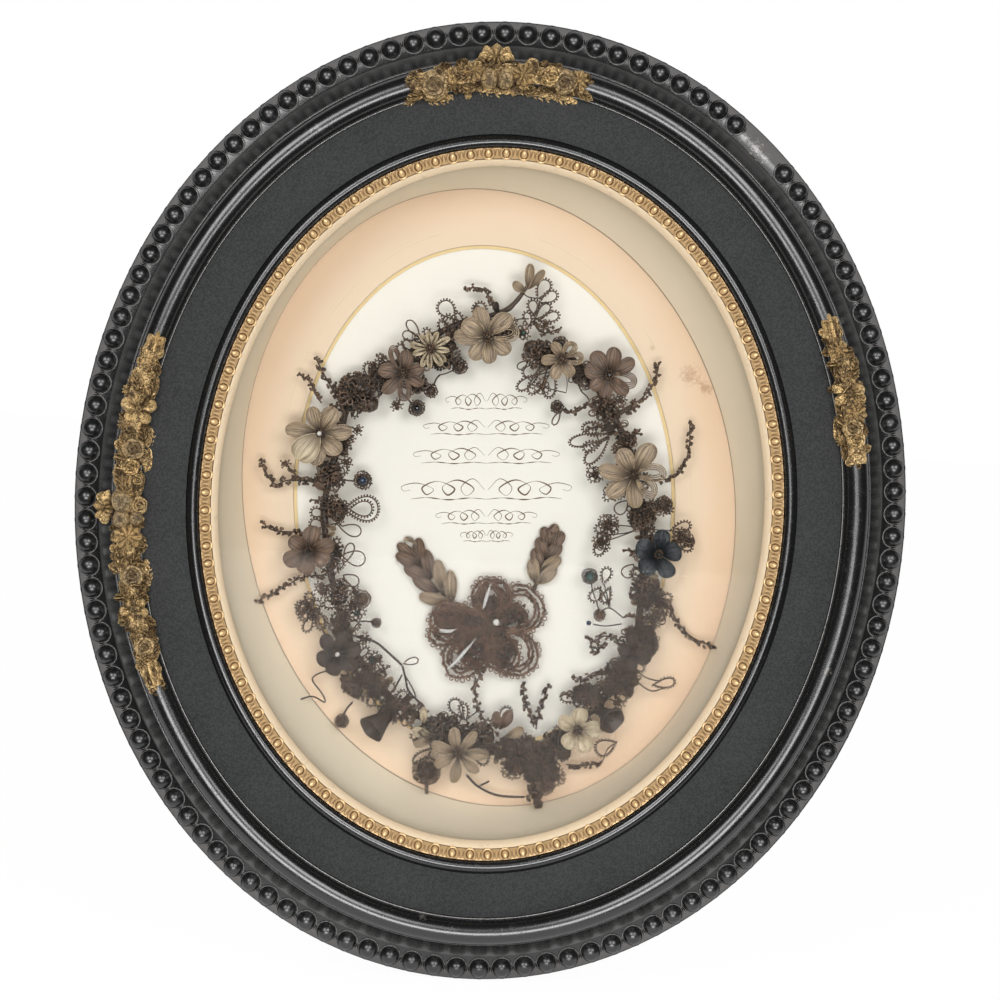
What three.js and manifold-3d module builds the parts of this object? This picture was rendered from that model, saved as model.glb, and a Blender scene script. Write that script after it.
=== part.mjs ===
// A Victorian hair wreath in its deep oval shadow box.
// Millimetres. X runs across the frame, +Z is up, and the front faces -Y.
// The origin is the middle of the backboard's outer face, which lies on the wall.
import * as THREE from 'three';
import { mergeVertices } from 'three/addons/utils/BufferGeometryUtils.js';
import Module from 'manifold-3d';

const wasm = await Module();
wasm.setup();

// Driving dimensions of the whole frame
const frameWidth = 528;
const frameHeight = 610;
const gap = 0.3; // left between neighbouring pieces
const overrun = 2; // how far a cutting tool runs past the face that it cuts
const ringSteps = 40; // flats round every oval
const quarters = 4; // sawn segments, and lengths of bead strip

// Insets are measured inwards from the frame's outer edge, levels outwards from the wall
const carcass = { edgeInset: 1, level: 34, depth: 28, panelRise: 13.7, rabbetRise: 6.5 };
const beadStrip = { width: 14.7, thick: 4.7, beadInset: 7.2, beadRadius: 6.2, beadRise: 4.6, beadSink: 1 };
const beads = { pitch: 14.55, sides: 5, lostFromShare: 0.56, lostToShare: 0.63 };
const domeShares = { round: 0.8, high: 0.62 };
const moulding = {
  coveWidth: 10.3, coveDip: 0.7, coveRise: 6, filletRise: 3, torusRadius: 9.25, torusLift: 14,
};
const panel = { width: 27.4, thick: 5 };
const innerBead = { width: 7.8, lift: 11.7 };
const eggBand = { width: 6.6, thick: 4.9, rise: 4.8 };
const slip = { slope: 4, flange: 3.7, lip: 2, rise: 8.7 };
const glass = { thick: 2, edge: 1.1, seat: 2.5 };
const boxSide = { clearance: 10.8, wall: 6 };
const backboard = { thick: 5 };
const card = { thick: 1 };
const mat = { thick: 2, holeWidthShare: 0.7792, holeHeightShare: 0.8161, holeShift: -3.1, holeTurn: 4.2 };
const matEdge = { width: 2.3, step: 0.4 };
const liner = { drawWidth: 25.8, drawHeight: 22.8, footTurn: 11.1, wall: 1.5, lipHidden: 0.8, flange: 8 };
const brad = { radius: 0.8, length: 16, headRadius: 2, headThick: 1, sunk: 0.4, sides: 6 };
const hanger = { width: 16, below: 8, thick: 1.2, topInset: 11, barrelRadius: 2.7, barrelLength: 10 };
const ring = { wire: 1.3, bow: 13, sides: 6, steps: 9 };
const screw = { radius: 1.3, length: 14, headRadius: 3, headThick: 1.6, sides: 8, edge: 8, pitch: 10 };

// Levels and insets that follow from them
const seatLevel = carcass.level + carcass.depth;
const mouldStart = beadStrip.width + gap;
const torusWidth = 2 * moulding.torusRadius;
const mouldEnd = mouldStart + moulding.coveWidth + torusWidth;
const panelStart = mouldEnd + gap;
const panelEnd = panelStart + panel.width;
const panelSeat = seatLevel + carcass.panelRise;
const panelFront = panelSeat + gap + panel.thick;
const innerStart = panelEnd + gap;
const innerEnd = innerStart + innerBead.width;
const innerSeat = seatLevel + carcass.rabbetRise;
const eggStart = innerEnd + gap;
const eggEnd = eggStart + eggBand.width;
const slopeStart = eggEnd + gap;
const sightInset = slopeStart + slip.slope;
const glassFront = innerSeat - glass.seat + glass.thick;
const glassBack = glassFront - glass.thick;
const slipBack = glassFront + gap;
const eggBack = slipBack + slip.flange + gap;
const torusInset = mouldEnd - moulding.torusRadius;
const torusLevel = seatLevel + gap + moulding.torusLift + beadStrip.thick;
const cardFace = backboard.thick + gap + card.thick;
const matBack = cardFace + gap;
const matFront = matBack + mat.thick;
const boxInner = sightInset - boxSide.clearance;
const boxOuter = boxInner - boxSide.wall;
const footWidth = frameWidth - 2 * sightInset - liner.drawWidth;
const footHeight = frameHeight - 2 * sightInset - liner.drawHeight;
const holeWidth = footWidth * mat.holeWidthShare;
const holeHeight = footHeight * mat.holeHeightShare;

// Solids

// Makes a closed solid of a geometry, with its faces turned outwards.
function solid(geometry) {
  const bare = geometry.index ? geometry.clone() : geometry;
  for (const name of Object.keys(bare.attributes)) {
    if (name !== 'position') bare.deleteAttribute(name);
  }
  const merged = mergeVertices(bare, gap / 1000);
  const places = merged.attributes.position.array;
  const corners = Uint32Array.from(merged.index.array);
  if (signedVolume(places, corners) < 0) corners.reverse();
  return new wasm.Manifold(new wasm.Mesh({ numProp: 3, vertProperties: places, triVerts: corners }));
}

function signedVolume(places, corners) {
  const [a, b, c] = [new THREE.Vector3(), new THREE.Vector3(), new THREE.Vector3()];
  let volume = 0;
  for (let i = 0; i < corners.length; i += 3) {
    a.fromArray(places, 3 * corners[i]);
    b.fromArray(places, 3 * corners[i + 1]);
    c.fromArray(places, 3 * corners[i + 2]);
    volume += a.dot(b.cross(c)) / 6;
  }
  return volume;
}

function geometryOf(body) {
  const mesh = body.getMesh();
  const geometry = new THREE.BufferGeometry();
  geometry.setAttribute('position', new THREE.BufferAttribute(mesh.vertProperties, 3));
  geometry.setIndex(new THREE.BufferAttribute(mesh.triVerts, 1));
  geometry.computeVertexNormals();
  return geometry;
}

const joined = bodies => bodies.reduce((whole, body) => whole.add(body));

// A point by how far it stands out from the wall, or from the card inside the wreath's own group
const front = (x, level, z) => new THREE.Vector3(x, -level, z);

// The frame's ovals all keep one centre and lose the same width all round.
function ovalPoint(inset, angle, level) {
  const x = (frameWidth / 2 - inset) * Math.cos(angle);
  const z = (frameHeight / 2 - inset) * Math.sin(angle);
  return front(x, level, z);
}

// Sweeps a closed section round; place gives where a point of the section lies at an angle.
function swept(section, place) {
  const template = section.map((point, index) => new THREE.Vector2(1, index));
  const geometry = new THREE.LatheGeometry([...template, template[0]], ringSteps);
  const position = geometry.attributes.position;
  const rows = section.length + 1;
  for (let i = 0; i < position.count; i++) {
    const angle = 2 * Math.PI * (Math.floor(i / rows) % ringSteps) / ringSteps;
    const at = place(section[(i % rows) % section.length], angle);
    position.setXYZ(i, at.x, at.y, at.z);
  }
  return solid(geometry);
}

const ovalRing = section => swept(section, ([inset, level], angle) => ovalPoint(inset, angle, level));

// An oval outline about a shifted, turned centre
function ovalOutline(halfWidth, halfHeight, shift = 0, turn = 0) {
  const points = [];
  for (let i = 0; i < ringSteps; i++) {
    const angle = 2 * Math.PI * i / ringSteps;
    const point = new THREE.Vector2(halfWidth * Math.cos(angle), halfHeight * Math.sin(angle));
    point.rotateAround(new THREE.Vector2(), THREE.MathUtils.degToRad(turn));
    points.push(point.add(new THREE.Vector2(shift, 0)));
  }
  return points;
}

// A flat plate of an outline, from one level to another
function plate(outline, lowLevel, highLevel, hole) {
  const shape = new THREE.Shape(outline);
  if (hole) shape.holes.push(new THREE.Path(hole));
  const geometry = new THREE.ExtrudeGeometry(shape, { depth: highLevel - lowLevel, bevelEnabled: false });
  geometry.rotateX(Math.PI / 2);
  geometry.translate(0, -lowLevel, 0);
  return solid(geometry);
}

const framePlate = (inset, low, high, hole) =>
  plate(ovalOutline(frameWidth / 2 - inset, frameHeight / 2 - inset), low, high, hole);

// The turn that lays the Y axis along a direction
const turnTo = along =>
  new THREE.Quaternion().setFromUnitVectors(new THREE.Vector3(0, 1, 0), along.clone().normalize());

// A rod between two points
function rod(from, to, radius, sides) {
  const along = new THREE.Vector3().subVectors(to, from);
  const geometry = new THREE.CylinderGeometry(radius, radius, along.length(), sides);
  geometry.applyQuaternion(turnTo(along));
  geometry.translate(...new THREE.Vector3().addVectors(from, to).multiplyScalar(0.5).toArray());
  return solid(geometry);
}

// The sector of the frame between two angles, drawn in by half a gap on either side
function sectorTool(start, end, lowLevel, highLevel) {
  const far = frameWidth + frameHeight;
  const half = (end - start) / 2;
  const middle = start + half;
  const drawn = gap / 2 / Math.sin(half);
  const apex = new THREE.Vector2(drawn * Math.cos(middle), drawn * Math.sin(middle));
  const reach = angle => new THREE.Vector2(far * Math.cos(angle), far * Math.sin(angle)).add(apex);
  return plate([apex, reach(start), reach(middle), reach(end)], lowLevel, highLevel);
}

const quarterTool = (start, lowLevel, highLevel) =>
  sectorTool(start, start + 2 * Math.PI / quarters, lowLevel, highLevel);

// The moulded frame

function carcassRing() {
  return ovalRing([
    [carcass.edgeInset, carcass.level],
    [innerEnd, carcass.level],
    [innerEnd, innerSeat],
    [panelEnd, innerSeat],
    [panelEnd, panelSeat],
    [panelStart, panelSeat],
    [panelStart, seatLevel],
    [carcass.edgeInset, seatLevel],
  ]);
}

// Points of a round from one angle to another, in degrees, about a centre of the section
function round(inset, level, radius, from, to, steps) {
  const points = [];
  for (let i = 0; i <= steps; i++) {
    const angle = THREE.MathUtils.degToRad(from + (to - from) * i / steps);
    points.push([inset + radius * Math.cos(angle), level + radius * Math.sin(angle)]);
  }
  return points;
}

function torusMoulding() {
  const back = seatLevel + gap;
  const lip = back + beadStrip.thick;
  const coveEnd = mouldStart + moulding.coveWidth;
  return ovalRing([
    [mouldStart, back],
    [mouldEnd, back],
    ...round(torusInset, torusLevel, moulding.torusRadius, 0, 180, 4),
    [coveEnd, torusLevel - moulding.filletRise],
    [coveEnd - moulding.coveWidth / 4, lip + moulding.coveRise / 2],
    [coveEnd - moulding.coveWidth / 2, lip],
    [mouldStart, lip - moulding.coveDip],
  ]);
}

function flatPanel() {
  const back = panelSeat + gap;
  return ovalRing([
    [panelStart, back],
    [panelEnd, back],
    [panelEnd, panelFront],
    [panelStart, panelFront],
  ]);
}

function innerBeadMoulding() {
  const back = innerSeat + gap;
  const radius = innerBead.width / 2;
  return ovalRing([
    [innerStart, back],
    [innerEnd, back],
    ...round(innerStart + radius, back + innerBead.lift, radius, 0, 180, 3),
  ]);
}

function eggBandRing() {
  return ovalRing([
    [eggStart, eggBack],
    [eggEnd, eggBack],
    [eggEnd, eggBack + eggBand.thick],
    [eggStart, eggBack + eggBand.thick + eggBand.rise],
  ]);
}

function giltSlip() {
  return ovalRing([
    [eggStart, slipBack],
    [sightInset, slipBack],
    [sightInset, slipBack + slip.lip],
    [slopeStart, slipBack + slip.rise],
    [slopeStart, slipBack + slip.flange],
    [eggStart, slipBack + slip.flange],
  ]);
}

// Places spaced evenly by a pitch along a quarter of the oval, each as its angle and its share of the quarter
function evenPlaces(inset, quarter, pitch) {
  const fine = 400;
  const start = quarter * Math.PI / 2;
  const lengths = [0];
  let last = ovalPoint(inset, start, 0);
  for (let i = 1; i <= fine; i++) {
    const next = ovalPoint(inset, start + Math.PI / 2 * i / fine, 0);
    lengths.push(lengths[i - 1] + next.distanceTo(last));
    last = next;
  }
  const count = Math.round(lengths[fine] / pitch);
  const places = [];
  for (let i = 0; i < count; i++) {
    const share = (i + 0.5) / count;
    const wanted = lengths[fine] * share;
    const step = lengths.findIndex(length => length >= wanted);
    const part = (wanted - lengths[step - 1]) / (lengths[step] - lengths[step - 1]);
    places.push({ share, angle: start + Math.PI / 2 * (step - 1 + part) / fine });
  }
  return places;
}

// One half-round bead that stands on the strip
function beadDome(at) {
  const r = beadStrip.beadRadius;
  const profile = [
    new THREE.Vector2(0, -beadStrip.beadSink),
    new THREE.Vector2(r, -beadStrip.beadSink),
    new THREE.Vector2(r * domeShares.round, beadStrip.beadRise * domeShares.high),
    new THREE.Vector2(0, beadStrip.beadRise),
  ];
  const geometry = new THREE.LatheGeometry(profile, beads.sides);
  geometry.rotateX(-Math.PI);
  geometry.translate(at.x, at.y, at.z);
  return solid(geometry);
}

function beadStripQuarter(quarter) {
  const back = seatLevel + gap;
  const top = back + beadStrip.thick;
  const whole = ovalRing([[0, back], [beadStrip.width, back], [beadStrip.width, top], [0, top]]);
  const tool = quarterTool(quarter * Math.PI / 2, back - overrun, top + overrun);
  const strip = whole.intersect(tool);
  const isLost = share => quarter === 0 && share > beads.lostFromShare && share < beads.lostToShare;
  const domes = evenPlaces(beadStrip.beadInset, quarter, beads.pitch)
    .filter(({ share }) => !isLost(share))
    .map(({ angle }) => beadDome(ovalPoint(beadStrip.beadInset, angle, top)));
  return joined([strip, ...domes]);
}

// Gilded ornaments on the torus: a thin back with blobs of flowers and leaves,
// each blob by its shares of the half length, of the blob's size sideways, of its size and of its rise
const ornament = { size: 9.5, rise: 6, sink: 6, back: 2, backSpread: 52, crestSeatShare: 0.75 };
const ornamentTopShares = [
  [-0.93, 0.2, 0.8, 0.6], [-0.66, 0.3, 1, 0.8], [-0.34, 0.1, 1, 0.85], [0, 0.1, 1.4, 1.05],
  [0, -1.1, 0.9, 0.75], [0.34, 0.1, 1, 0.85], [0.66, 0.3, 1, 0.8], [0.93, 0.3, 0.85, 0.6],
];
const ornamentLeftShares = [
  [-0.95, 0, 0.75, 0.6], [-0.8, 0, 0.8, 0.8], [-0.61, 0, 1.2, 0.9], [-0.4, 0.1, 0.95, 0.8],
  [-0.22, 0.05, 1, 0.85], [-0.04, 0, 1.3, 1.05], [-0.04, -1.1, 0.9, 0.75], [0.14, 0, 1, 0.8],
  [0.33, 0.05, 1, 0.9], [0.52, 0, 0.95, 0.85], [0.71, 0, 0.9, 0.75], [0.9, 0, 0.8, 0.65],
];
const ornamentRightShares = [
  [-0.88, 0.15, 0.6, 0.5], [-0.55, 0, 0.9, 0.8], [-0.15, 0, 1, 0.9], [0.25, 0, 0.9, 0.9], [0.6, 0, 0.85, 0.8],
  [0.9, 0, 0.75, 0.7],
];
const ornaments = [
  { name: 'ornament_top', middle: 92.6, half: 14.6, shares: ornamentTopShares, way: -1 },
  { name: 'ornament_left', middle: 184, half: 24.6, shares: ornamentLeftShares, way: 1 },
  { name: 'ornament_right', middle: 17.8, half: 10.2, shares: ornamentRightShares, way: 1 },
];

// What an ornament may not reach: the torus and what lies beside it, a gap larger all round
function ornamentBed() {
  const r = moulding.torusRadius + gap;
  const side = 2 * r + 2 * ornament.size;
  return ovalRing([
    [torusInset - side, seatLevel],
    [torusInset + side, seatLevel],
    [torusInset + side, panelFront + gap],
    ...round(torusInset, torusLevel, r, 0, 180, 4),
    [torusInset - side, torusLevel],
  ]);
}

// The bearing from the frame's centre of the torus at an angle of its oval
function torusBearing(angle) {
  const at = ovalPoint(torusInset, angle, 0);
  const bearing = Math.atan2(at.z, at.x);
  return bearing < 0 ? bearing + 2 * Math.PI : bearing;
}

// The cast back that joins the blobs, as long as the ornament
function ornamentBack(from, to) {
  const r = moulding.torusRadius + gap;
  const start = torusBearing(from);
  const end = torusBearing(to);
  const spread = ornament.backSpread;
  const section = [
    ...round(torusInset, torusLevel, r + ornament.back, 90 - spread, 90 + spread, 2),
    [torusInset, torusLevel],
  ];
  const tool = sectorTool(start, end, torusLevel - overrun, torusLevel + r + ornament.back + overrun);
  return ovalRing(section).intersect(tool);
}

function ornamentSolid({ middle, half, shares, way }) {
  const blobs = shares.map(([angleShare, sideShare, sizeShare, riseShare]) => {
    const angle = THREE.MathUtils.degToRad(middle + way * half * angleShare);
    const size = ornament.size * sizeShare;
    const inset = torusInset + sideShare * ornament.size;
    const seatShare = sideShare < -1 ? ornament.crestSeatShare : 1;
    const level = torusLevel + moulding.torusRadius * seatShare - ornament.sink;
    const rise = ornament.rise * riseShare + ornament.sink;
    const geometry = new THREE.SphereGeometry(1, 5, 4);
    geometry.scale(size, rise, size);
    geometry.translate(...ovalPoint(inset, angle, level).toArray());
    return solid(geometry);
  });
  const back = ornamentBack(THREE.MathUtils.degToRad(middle - half), THREE.MathUtils.degToRad(middle + half));
  return joined([back, ...blobs]).subtract(ornamentBed());
}

// The box behind the moulding

function glassPane() {
  return framePlate(innerEnd + glass.edge, glassBack, glassFront);
}

// The liner runs from the sight oval to a turned oval on the mat, so its width varies round the frame.
const linerShares = [0, 0.3, 0.6, 0.83, 1];
const linerPower = 1.7; // how late the wall draws in towards its foot

function linerSolid() {
  const lipLevel = glassBack - gap;
  const footLevel = matFront + gap;
  const lipInset = sightInset - liner.lipHidden;
  const inner = linerShares.map(share => [share, 0]);
  const outer = [1, 0.6].map(share => [share, liner.wall]);
  const flangeShare = liner.wall / (lipLevel - footLevel);
  const flange = [[flangeShare, liner.wall], [flangeShare, liner.flange], [0, liner.flange]];
  const section = [...inner, ...outer, ...flange];
  return swept(section, ([share, outwards], angle) => {
    const drawn = share ** linerPower;
    const turn = THREE.MathUtils.degToRad(liner.footTurn) * drawn;
    const halfWidth = THREE.MathUtils.lerp(frameWidth / 2 - lipInset, footWidth / 2, drawn);
    const halfHeight = THREE.MathUtils.lerp(frameHeight / 2 - lipInset, footHeight / 2, drawn);
    const x = (halfWidth + outwards) * Math.cos(angle);
    const z = (halfHeight + outwards) * Math.sin(angle);
    const level = THREE.MathUtils.lerp(lipLevel, footLevel, share);
    return front(x * Math.cos(turn) - z * Math.sin(turn), level, x * Math.sin(turn) + z * Math.cos(turn));
  });
}

function boxSideRing() {
  return ovalRing([
    [boxOuter, backboard.thick + gap],
    [boxInner, backboard.thick + gap],
    [boxInner, carcass.level - gap],
    [boxOuter, carcass.level - gap],
  ]);
}

function matHole(grow) {
  return ovalOutline(holeWidth / 2 + grow, holeHeight / 2 + grow, mat.holeShift, mat.holeTurn);
}

function matEdgeRing() {
  const section = [
    [-matEdge.width, matBack],
    [-gap, matBack],
    [-gap, matFront],
    [-matEdge.width, matBack + matEdge.step],
  ];
  const turn = THREE.MathUtils.degToRad(mat.holeTurn);
  return swept(section, ([grow, level], angle) => {
    const x = (holeWidth / 2 + grow) * Math.cos(angle);
    const z = (holeHeight / 2 + grow) * Math.sin(angle);
    const turnedX = x * Math.cos(turn) - z * Math.sin(turn) + mat.holeShift;
    return front(turnedX, level, x * Math.sin(turn) + z * Math.cos(turn));
  });
}

// Fastenings

const bradInset = (boxOuter + boxInner) / 2;
const bradPlace = index => ovalPoint(bradInset, Math.PI / 4 + index * Math.PI / 2, 0);

function bradSolid(grow) {
  const head = rod(front(0, brad.sunk - 2 * grow, 0), front(0, brad.sunk + brad.headThick + grow, 0),
    brad.headRadius + grow, brad.sides);
  const shank = rod(front(0, brad.sunk + brad.headThick / 2, 0), front(0, brad.length + grow, 0),
    brad.radius + grow, brad.sides);
  return head.add(shank);
}

// A piece with the holes that its brads pass through
function drilledForBrads(body) {
  let drilled = body;
  for (let i = 0; i < quarters; i++) {
    const at = bradPlace(i);
    const geometry = geometryOf(bradSolid(gap));
    geometry.translate(at.x, at.y, at.z);
    drilled = drilled.subtract(solid(geometry));
  }
  return drilled;
}

const plateFace = carcass.level - gap;
const plateOuter = plateFace - hanger.thick;
const plateTop = frameHeight / 2 - hanger.topInset;
const hingeLevel = plateFace - hanger.barrelRadius;
const screwHeights = [plateTop - screw.edge, plateTop - screw.edge - screw.pitch];
const hingeHeight = screwHeights[1] - hanger.below;

function hangerPlate() {
  const half = hanger.width / 2;
  const outline = [
    new THREE.Vector2(-hanger.barrelLength / 2, hingeHeight),
    new THREE.Vector2(hanger.barrelLength / 2, hingeHeight),
    new THREE.Vector2(half, hingeHeight + half),
    new THREE.Vector2(half, plateTop - half / 2),
    new THREE.Vector2(half / 2, plateTop),
    new THREE.Vector2(-half / 2, plateTop),
    new THREE.Vector2(-half, plateTop - half / 2),
    new THREE.Vector2(-half, hingeHeight + half),
  ];
  const left = front(-hanger.barrelLength / 2, hingeLevel, hingeHeight);
  const right = front(hanger.barrelLength / 2, hingeLevel, hingeHeight);
  const barrel = rod(left, right, hanger.barrelRadius, ring.sides);
  const bore = rod(left.clone().setX(left.x - overrun), right.clone().setX(right.x + overrun),
    ring.wire + gap, ring.sides);
  const holes = screwHeights.map(z =>
    rod(front(0, plateOuter - overrun, z), front(0, plateFace + overrun, z),
      screw.radius + gap, screw.sides));
  return plate(outline, plateOuter, plateFace).add(barrel).subtract(joined([bore, ...holes]));
}

// The ring is a D: its bar turns in the plate's barrel and its bow hangs below.
function hangerRing() {
  const circle = new THREE.Shape();
  circle.absarc(0, 0, ring.wire, 0, 2 * Math.PI);
  const bowPoints = [];
  for (let i = 0; i <= ring.steps; i++) {
    const angle = -Math.PI * i / ring.steps;
    bowPoints.push(new THREE.Vector3(ring.bow * Math.cos(angle), 0, ring.bow * Math.sin(angle)));
  }
  const bow = solid(new THREE.ExtrudeGeometry(circle, {
    curveSegments: ring.sides / 2,
    steps: ring.steps,
    bevelEnabled: false,
    extrudePath: new THREE.CatmullRomCurve3(bowPoints),
  }));
  const end = ring.bow + ring.wire;
  return bow.add(rod(new THREE.Vector3(-end, 0, 0), new THREE.Vector3(end, 0, 0), ring.wire, ring.sides));
}

function screwSolid() {
  const seat = plateOuter - gap;
  const profile = [
    new THREE.Vector2(0, -screw.length),
    new THREE.Vector2(screw.radius, -screw.length),
    new THREE.Vector2(screw.radius, 0),
    new THREE.Vector2(screw.headRadius, 0),
    new THREE.Vector2(screw.headRadius / 2, screw.headThick),
    new THREE.Vector2(0, screw.headThick),
  ];
  const geometry = new THREE.LatheGeometry(profile, screw.sides);
  geometry.translate(0, -seat, 0);
  return solid(geometry);
}

function drilledForScrews(body) {
  const end = plateOuter - gap + screw.length + gap;
  const holes = screwHeights.map(z =>
    rod(front(0, carcass.level - overrun, z), front(0, end, z), screw.radius + gap, screw.sides));
  return body.subtract(joined(holes));
}

// The hair wreath, in a group whose origin is the middle of the card's face

const wreath = { widthShare: 0.8167, heightShare: 0.9486, drop: -14, stand: 13 };
const wreathHalfWidth = holeWidth / 2 * wreath.widthShare;
const wreathHalfHeight = holeHeight / 2 * wreath.heightShare;
const stem = { radius: 3, sides: 6, steps: 18 };
const stay = { radius: 1, sides: 6, foot: 3.2, footThick: 0.9 };
const flower = { petal: 15, petalThick: 2.2, heart: 3.6, stalk: 1, lift: 8.2, layer: 4.2 };
const petalShares = [1, 0.9, 0.42, 0.9]; // how far a petal's outline lies from the heart, round one petal
const sprig = { radius: 0.9, berry: 2.3, sides: 4, knots: 2, bareShare: 0.4, knotShare: 0.3 };
const spray = { radius: 0.9, below: 2.5, steps: 6 };
const bud = { radius: 4.6 };
const cup = { length: 23, mouth: 8.6, throat: 4, throatShare: 0.5, base: 2.6, wall: 0.8, sides: 8 };
const bow = { stand: 4.6, wire: 1.6, loopWidth: 8.2, knot: 4.4, pearl: 2.4 };
const plume = { stand: 1.55, halfWidth: 11.5, lobeThick: 1.6, rib: 1.3 };

// A place in the wreath by shares of its half width and half height
const wreathPoint = ([xShare, zShare], stand = wreath.stand) =>
  front(xShare * wreathHalfWidth, stand, wreath.drop + zShare * wreathHalfHeight);

// A flattened ball or leaf by its half sizes, turned in the card's plane
function leaf(at, turn, half, thick, wide, sides = 4, rings = 3) {
  const geometry = new THREE.SphereGeometry(1, sides, rings);
  geometry.rotateZ(Math.PI / 2);
  geometry.scale(half, thick, wide);
  geometry.rotateY(-turn);
  geometry.translate(at.x, at.y, at.z);
  return solid(geometry);
}

const ball = (at, radius) => leaf(at, 0, radius, radius, radius, 4, 4);

const stemLeftShares = [
  [0.36, -0.98], [0.02, -0.94], [-0.31, -0.84], [-0.54, -0.77], [-0.74, -0.63], [-0.86, -0.5], [-0.95, -0.33],
  [-1.02, -0.14], [-1.05, 0.04], [-1.02, 0.23], [-0.94, 0.42], [-0.77, 0.57], [-0.56, 0.68], [-0.31, 0.79],
  [-0.06, 0.86], [0.07, 0.92], [0.15, 1],
];
const stemRightShares = [
  [0.45, -0.96], [0.62, -0.84], [0.84, -0.66], [0.97, -0.47], [0.99, -0.3], [1.0, -0.09], [0.96, 0.12],
  [0.84, 0.38], [0.7, 0.53], [0.5, 0.66], [0.3, 0.76], [0.14, 0.82],
];

const stemCurve = shares => new THREE.CatmullRomCurve3(shares.map(share => wreathPoint(share)));
const stemCurves = [stemCurve(stemLeftShares), stemCurve(stemRightShares)];
const stemSamples = stemCurves.flatMap(curve => curve.getSpacedPoints(200));

// Bunches of looped gimp bound on the stems: x share, z share, size share
const bunch = { size: 13, thick: 2.6, forward: 2.5, widthShare: 0.8 };
const bunchLeftShares = [
  [-0.91, 0.46, 1.1], [-0.28, 0.8, 0.85], [-1.03, 0.08, 0.7], [-0.98, -0.28, 0.7],
  [-0.68, -0.68, 1.1],
  [-0.34, -0.87, 0.9], [0.08, -0.96, 0.9], [0.24, -1.02, 0.95],
];
const bunchRightShares = [
  [0.24, 0.78, 1], [0.99, 0.05, 0.95], [0.99, -0.21, 0.9], [0.98, -0.38, 0.9], [0.92, -0.55, 1],
  [0.5, -0.93, 0.9],
];

function stemSolid(curve, bunches) {
  const circle = new THREE.Shape();
  circle.absarc(0, 0, stem.radius, 0, 2 * Math.PI);
  const wire = solid(new THREE.ExtrudeGeometry(circle, {
    curveSegments: stem.sides / 2,
    steps: stem.steps,
    bevelEnabled: false,
    extrudePath: curve,
  }));
  const lumps = bunches.map(([xShare, zShare, sizeShare], index) => {
    const half = bunch.size * sizeShare;
    return leaf(wreathPoint([xShare, zShare], wreath.stand + bunch.forward), index, half, bunch.thick,
      half * bunch.widthShare, 5);
  });
  return joined([wire, ...lumps]);
}

// The point of the stems' centre lines that lies nearest
const nearestOf = (points, at) =>
  points.reduce((best, point) => (point.distanceTo(at) < best.distanceTo(at) ? point : best));
const nearestStem = at => nearestOf(stemSamples, at);

// Where a stalk that comes from a point meets the stem, a gap off its wrapping
function stemSeat(from) {
  const middle = nearestStem(from);
  const away = new THREE.Vector3().subVectors(from, middle).normalize();
  return middle.clone().addScaledVector(away, stem.radius + gap);
}

// Each flower: place, petal count, size share, layer in front of the stem, first petal's angle in degrees
const flowers = [
  { name: 'flower_left_pale', shares: [-1.1, 0.32], petals: 5, sizeShare: 1.25, layer: 0, turn: 60 },
  { name: 'flower_upper_left_dark', shares: [-0.6, 0.6], petals: 6, sizeShare: 1, layer: 0, turn: 10 },
  { name: 'flower_upper_left_star', shares: [-0.36, 0.74], petals: 6, sizeShare: 0.8, layer: 1, turn: 25 },
  { name: 'flower_top_pale', shares: [-0.05, 0.75], petals: 6, sizeShare: 1.25, layer: 0, turn: 90 },
  { name: 'flower_top_right_light', shares: [0.42, 0.69], petals: 5, sizeShare: 0.8, layer: 0, turn: 20 },
  { name: 'flower_upper_right_brown', shares: [0.72, 0.63], petals: 6, sizeShare: 1.05, layer: 0, turn: 90 },
  { name: 'flower_right_light', shares: [0.93, 0.23], petals: 5, sizeShare: 1.2, layer: 0, turn: 90 },
  { name: 'flower_right_slate', shares: [1.1, -0.1], petals: 5, sizeShare: 1, layer: 0, turn: 40 },
  { name: 'flower_lower_right_light', shares: [0.64, -0.85], petals: 5, sizeShare: 0.95, layer: 0, turn: 90 },
  { name: 'flower_bottom_ribbon', shares: [-0.14, -0.95], petals: 6, sizeShare: 1.15, layer: 0, turn: 80 },
  { name: 'flower_lower_left_dark', shares: [-0.91, -0.59], petals: 5, sizeShare: 0.85, layer: 0, turn: 70 },
  { name: 'flower_left_brown', shares: [-1.13, -0.16], petals: 5, sizeShare: 1, layer: 0, turn: 150 },
];

function flowerSolid({ shares, petals, sizeShare, layer, turn }) {
  const stand = wreath.stand + flower.lift + layer * flower.layer;
  const middle = wreathPoint(shares, stand);
  const length = flower.petal * sizeShare;
  const outline = [];
  for (let i = 0; i < petals * petalShares.length; i++) {
    const angle = THREE.MathUtils.degToRad(turn) + 2 * Math.PI * i / petals / petalShares.length;
    const reach = length * petalShares[i % petalShares.length];
    outline.push(new THREE.Vector2(middle.x + reach * Math.cos(angle), middle.z + reach * Math.sin(angle)));
  }
  const level = stand - flower.petalThick / 2;
  const petalPlate = plate(outline, level, level + flower.petalThick);
  const heart = ball(middle, flower.heart * Math.sqrt(sizeShare));
  return joined([petalPlate, heart, rod(middle, stemSeat(middle), flower.stalk, sprig.sides)]);
}

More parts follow.
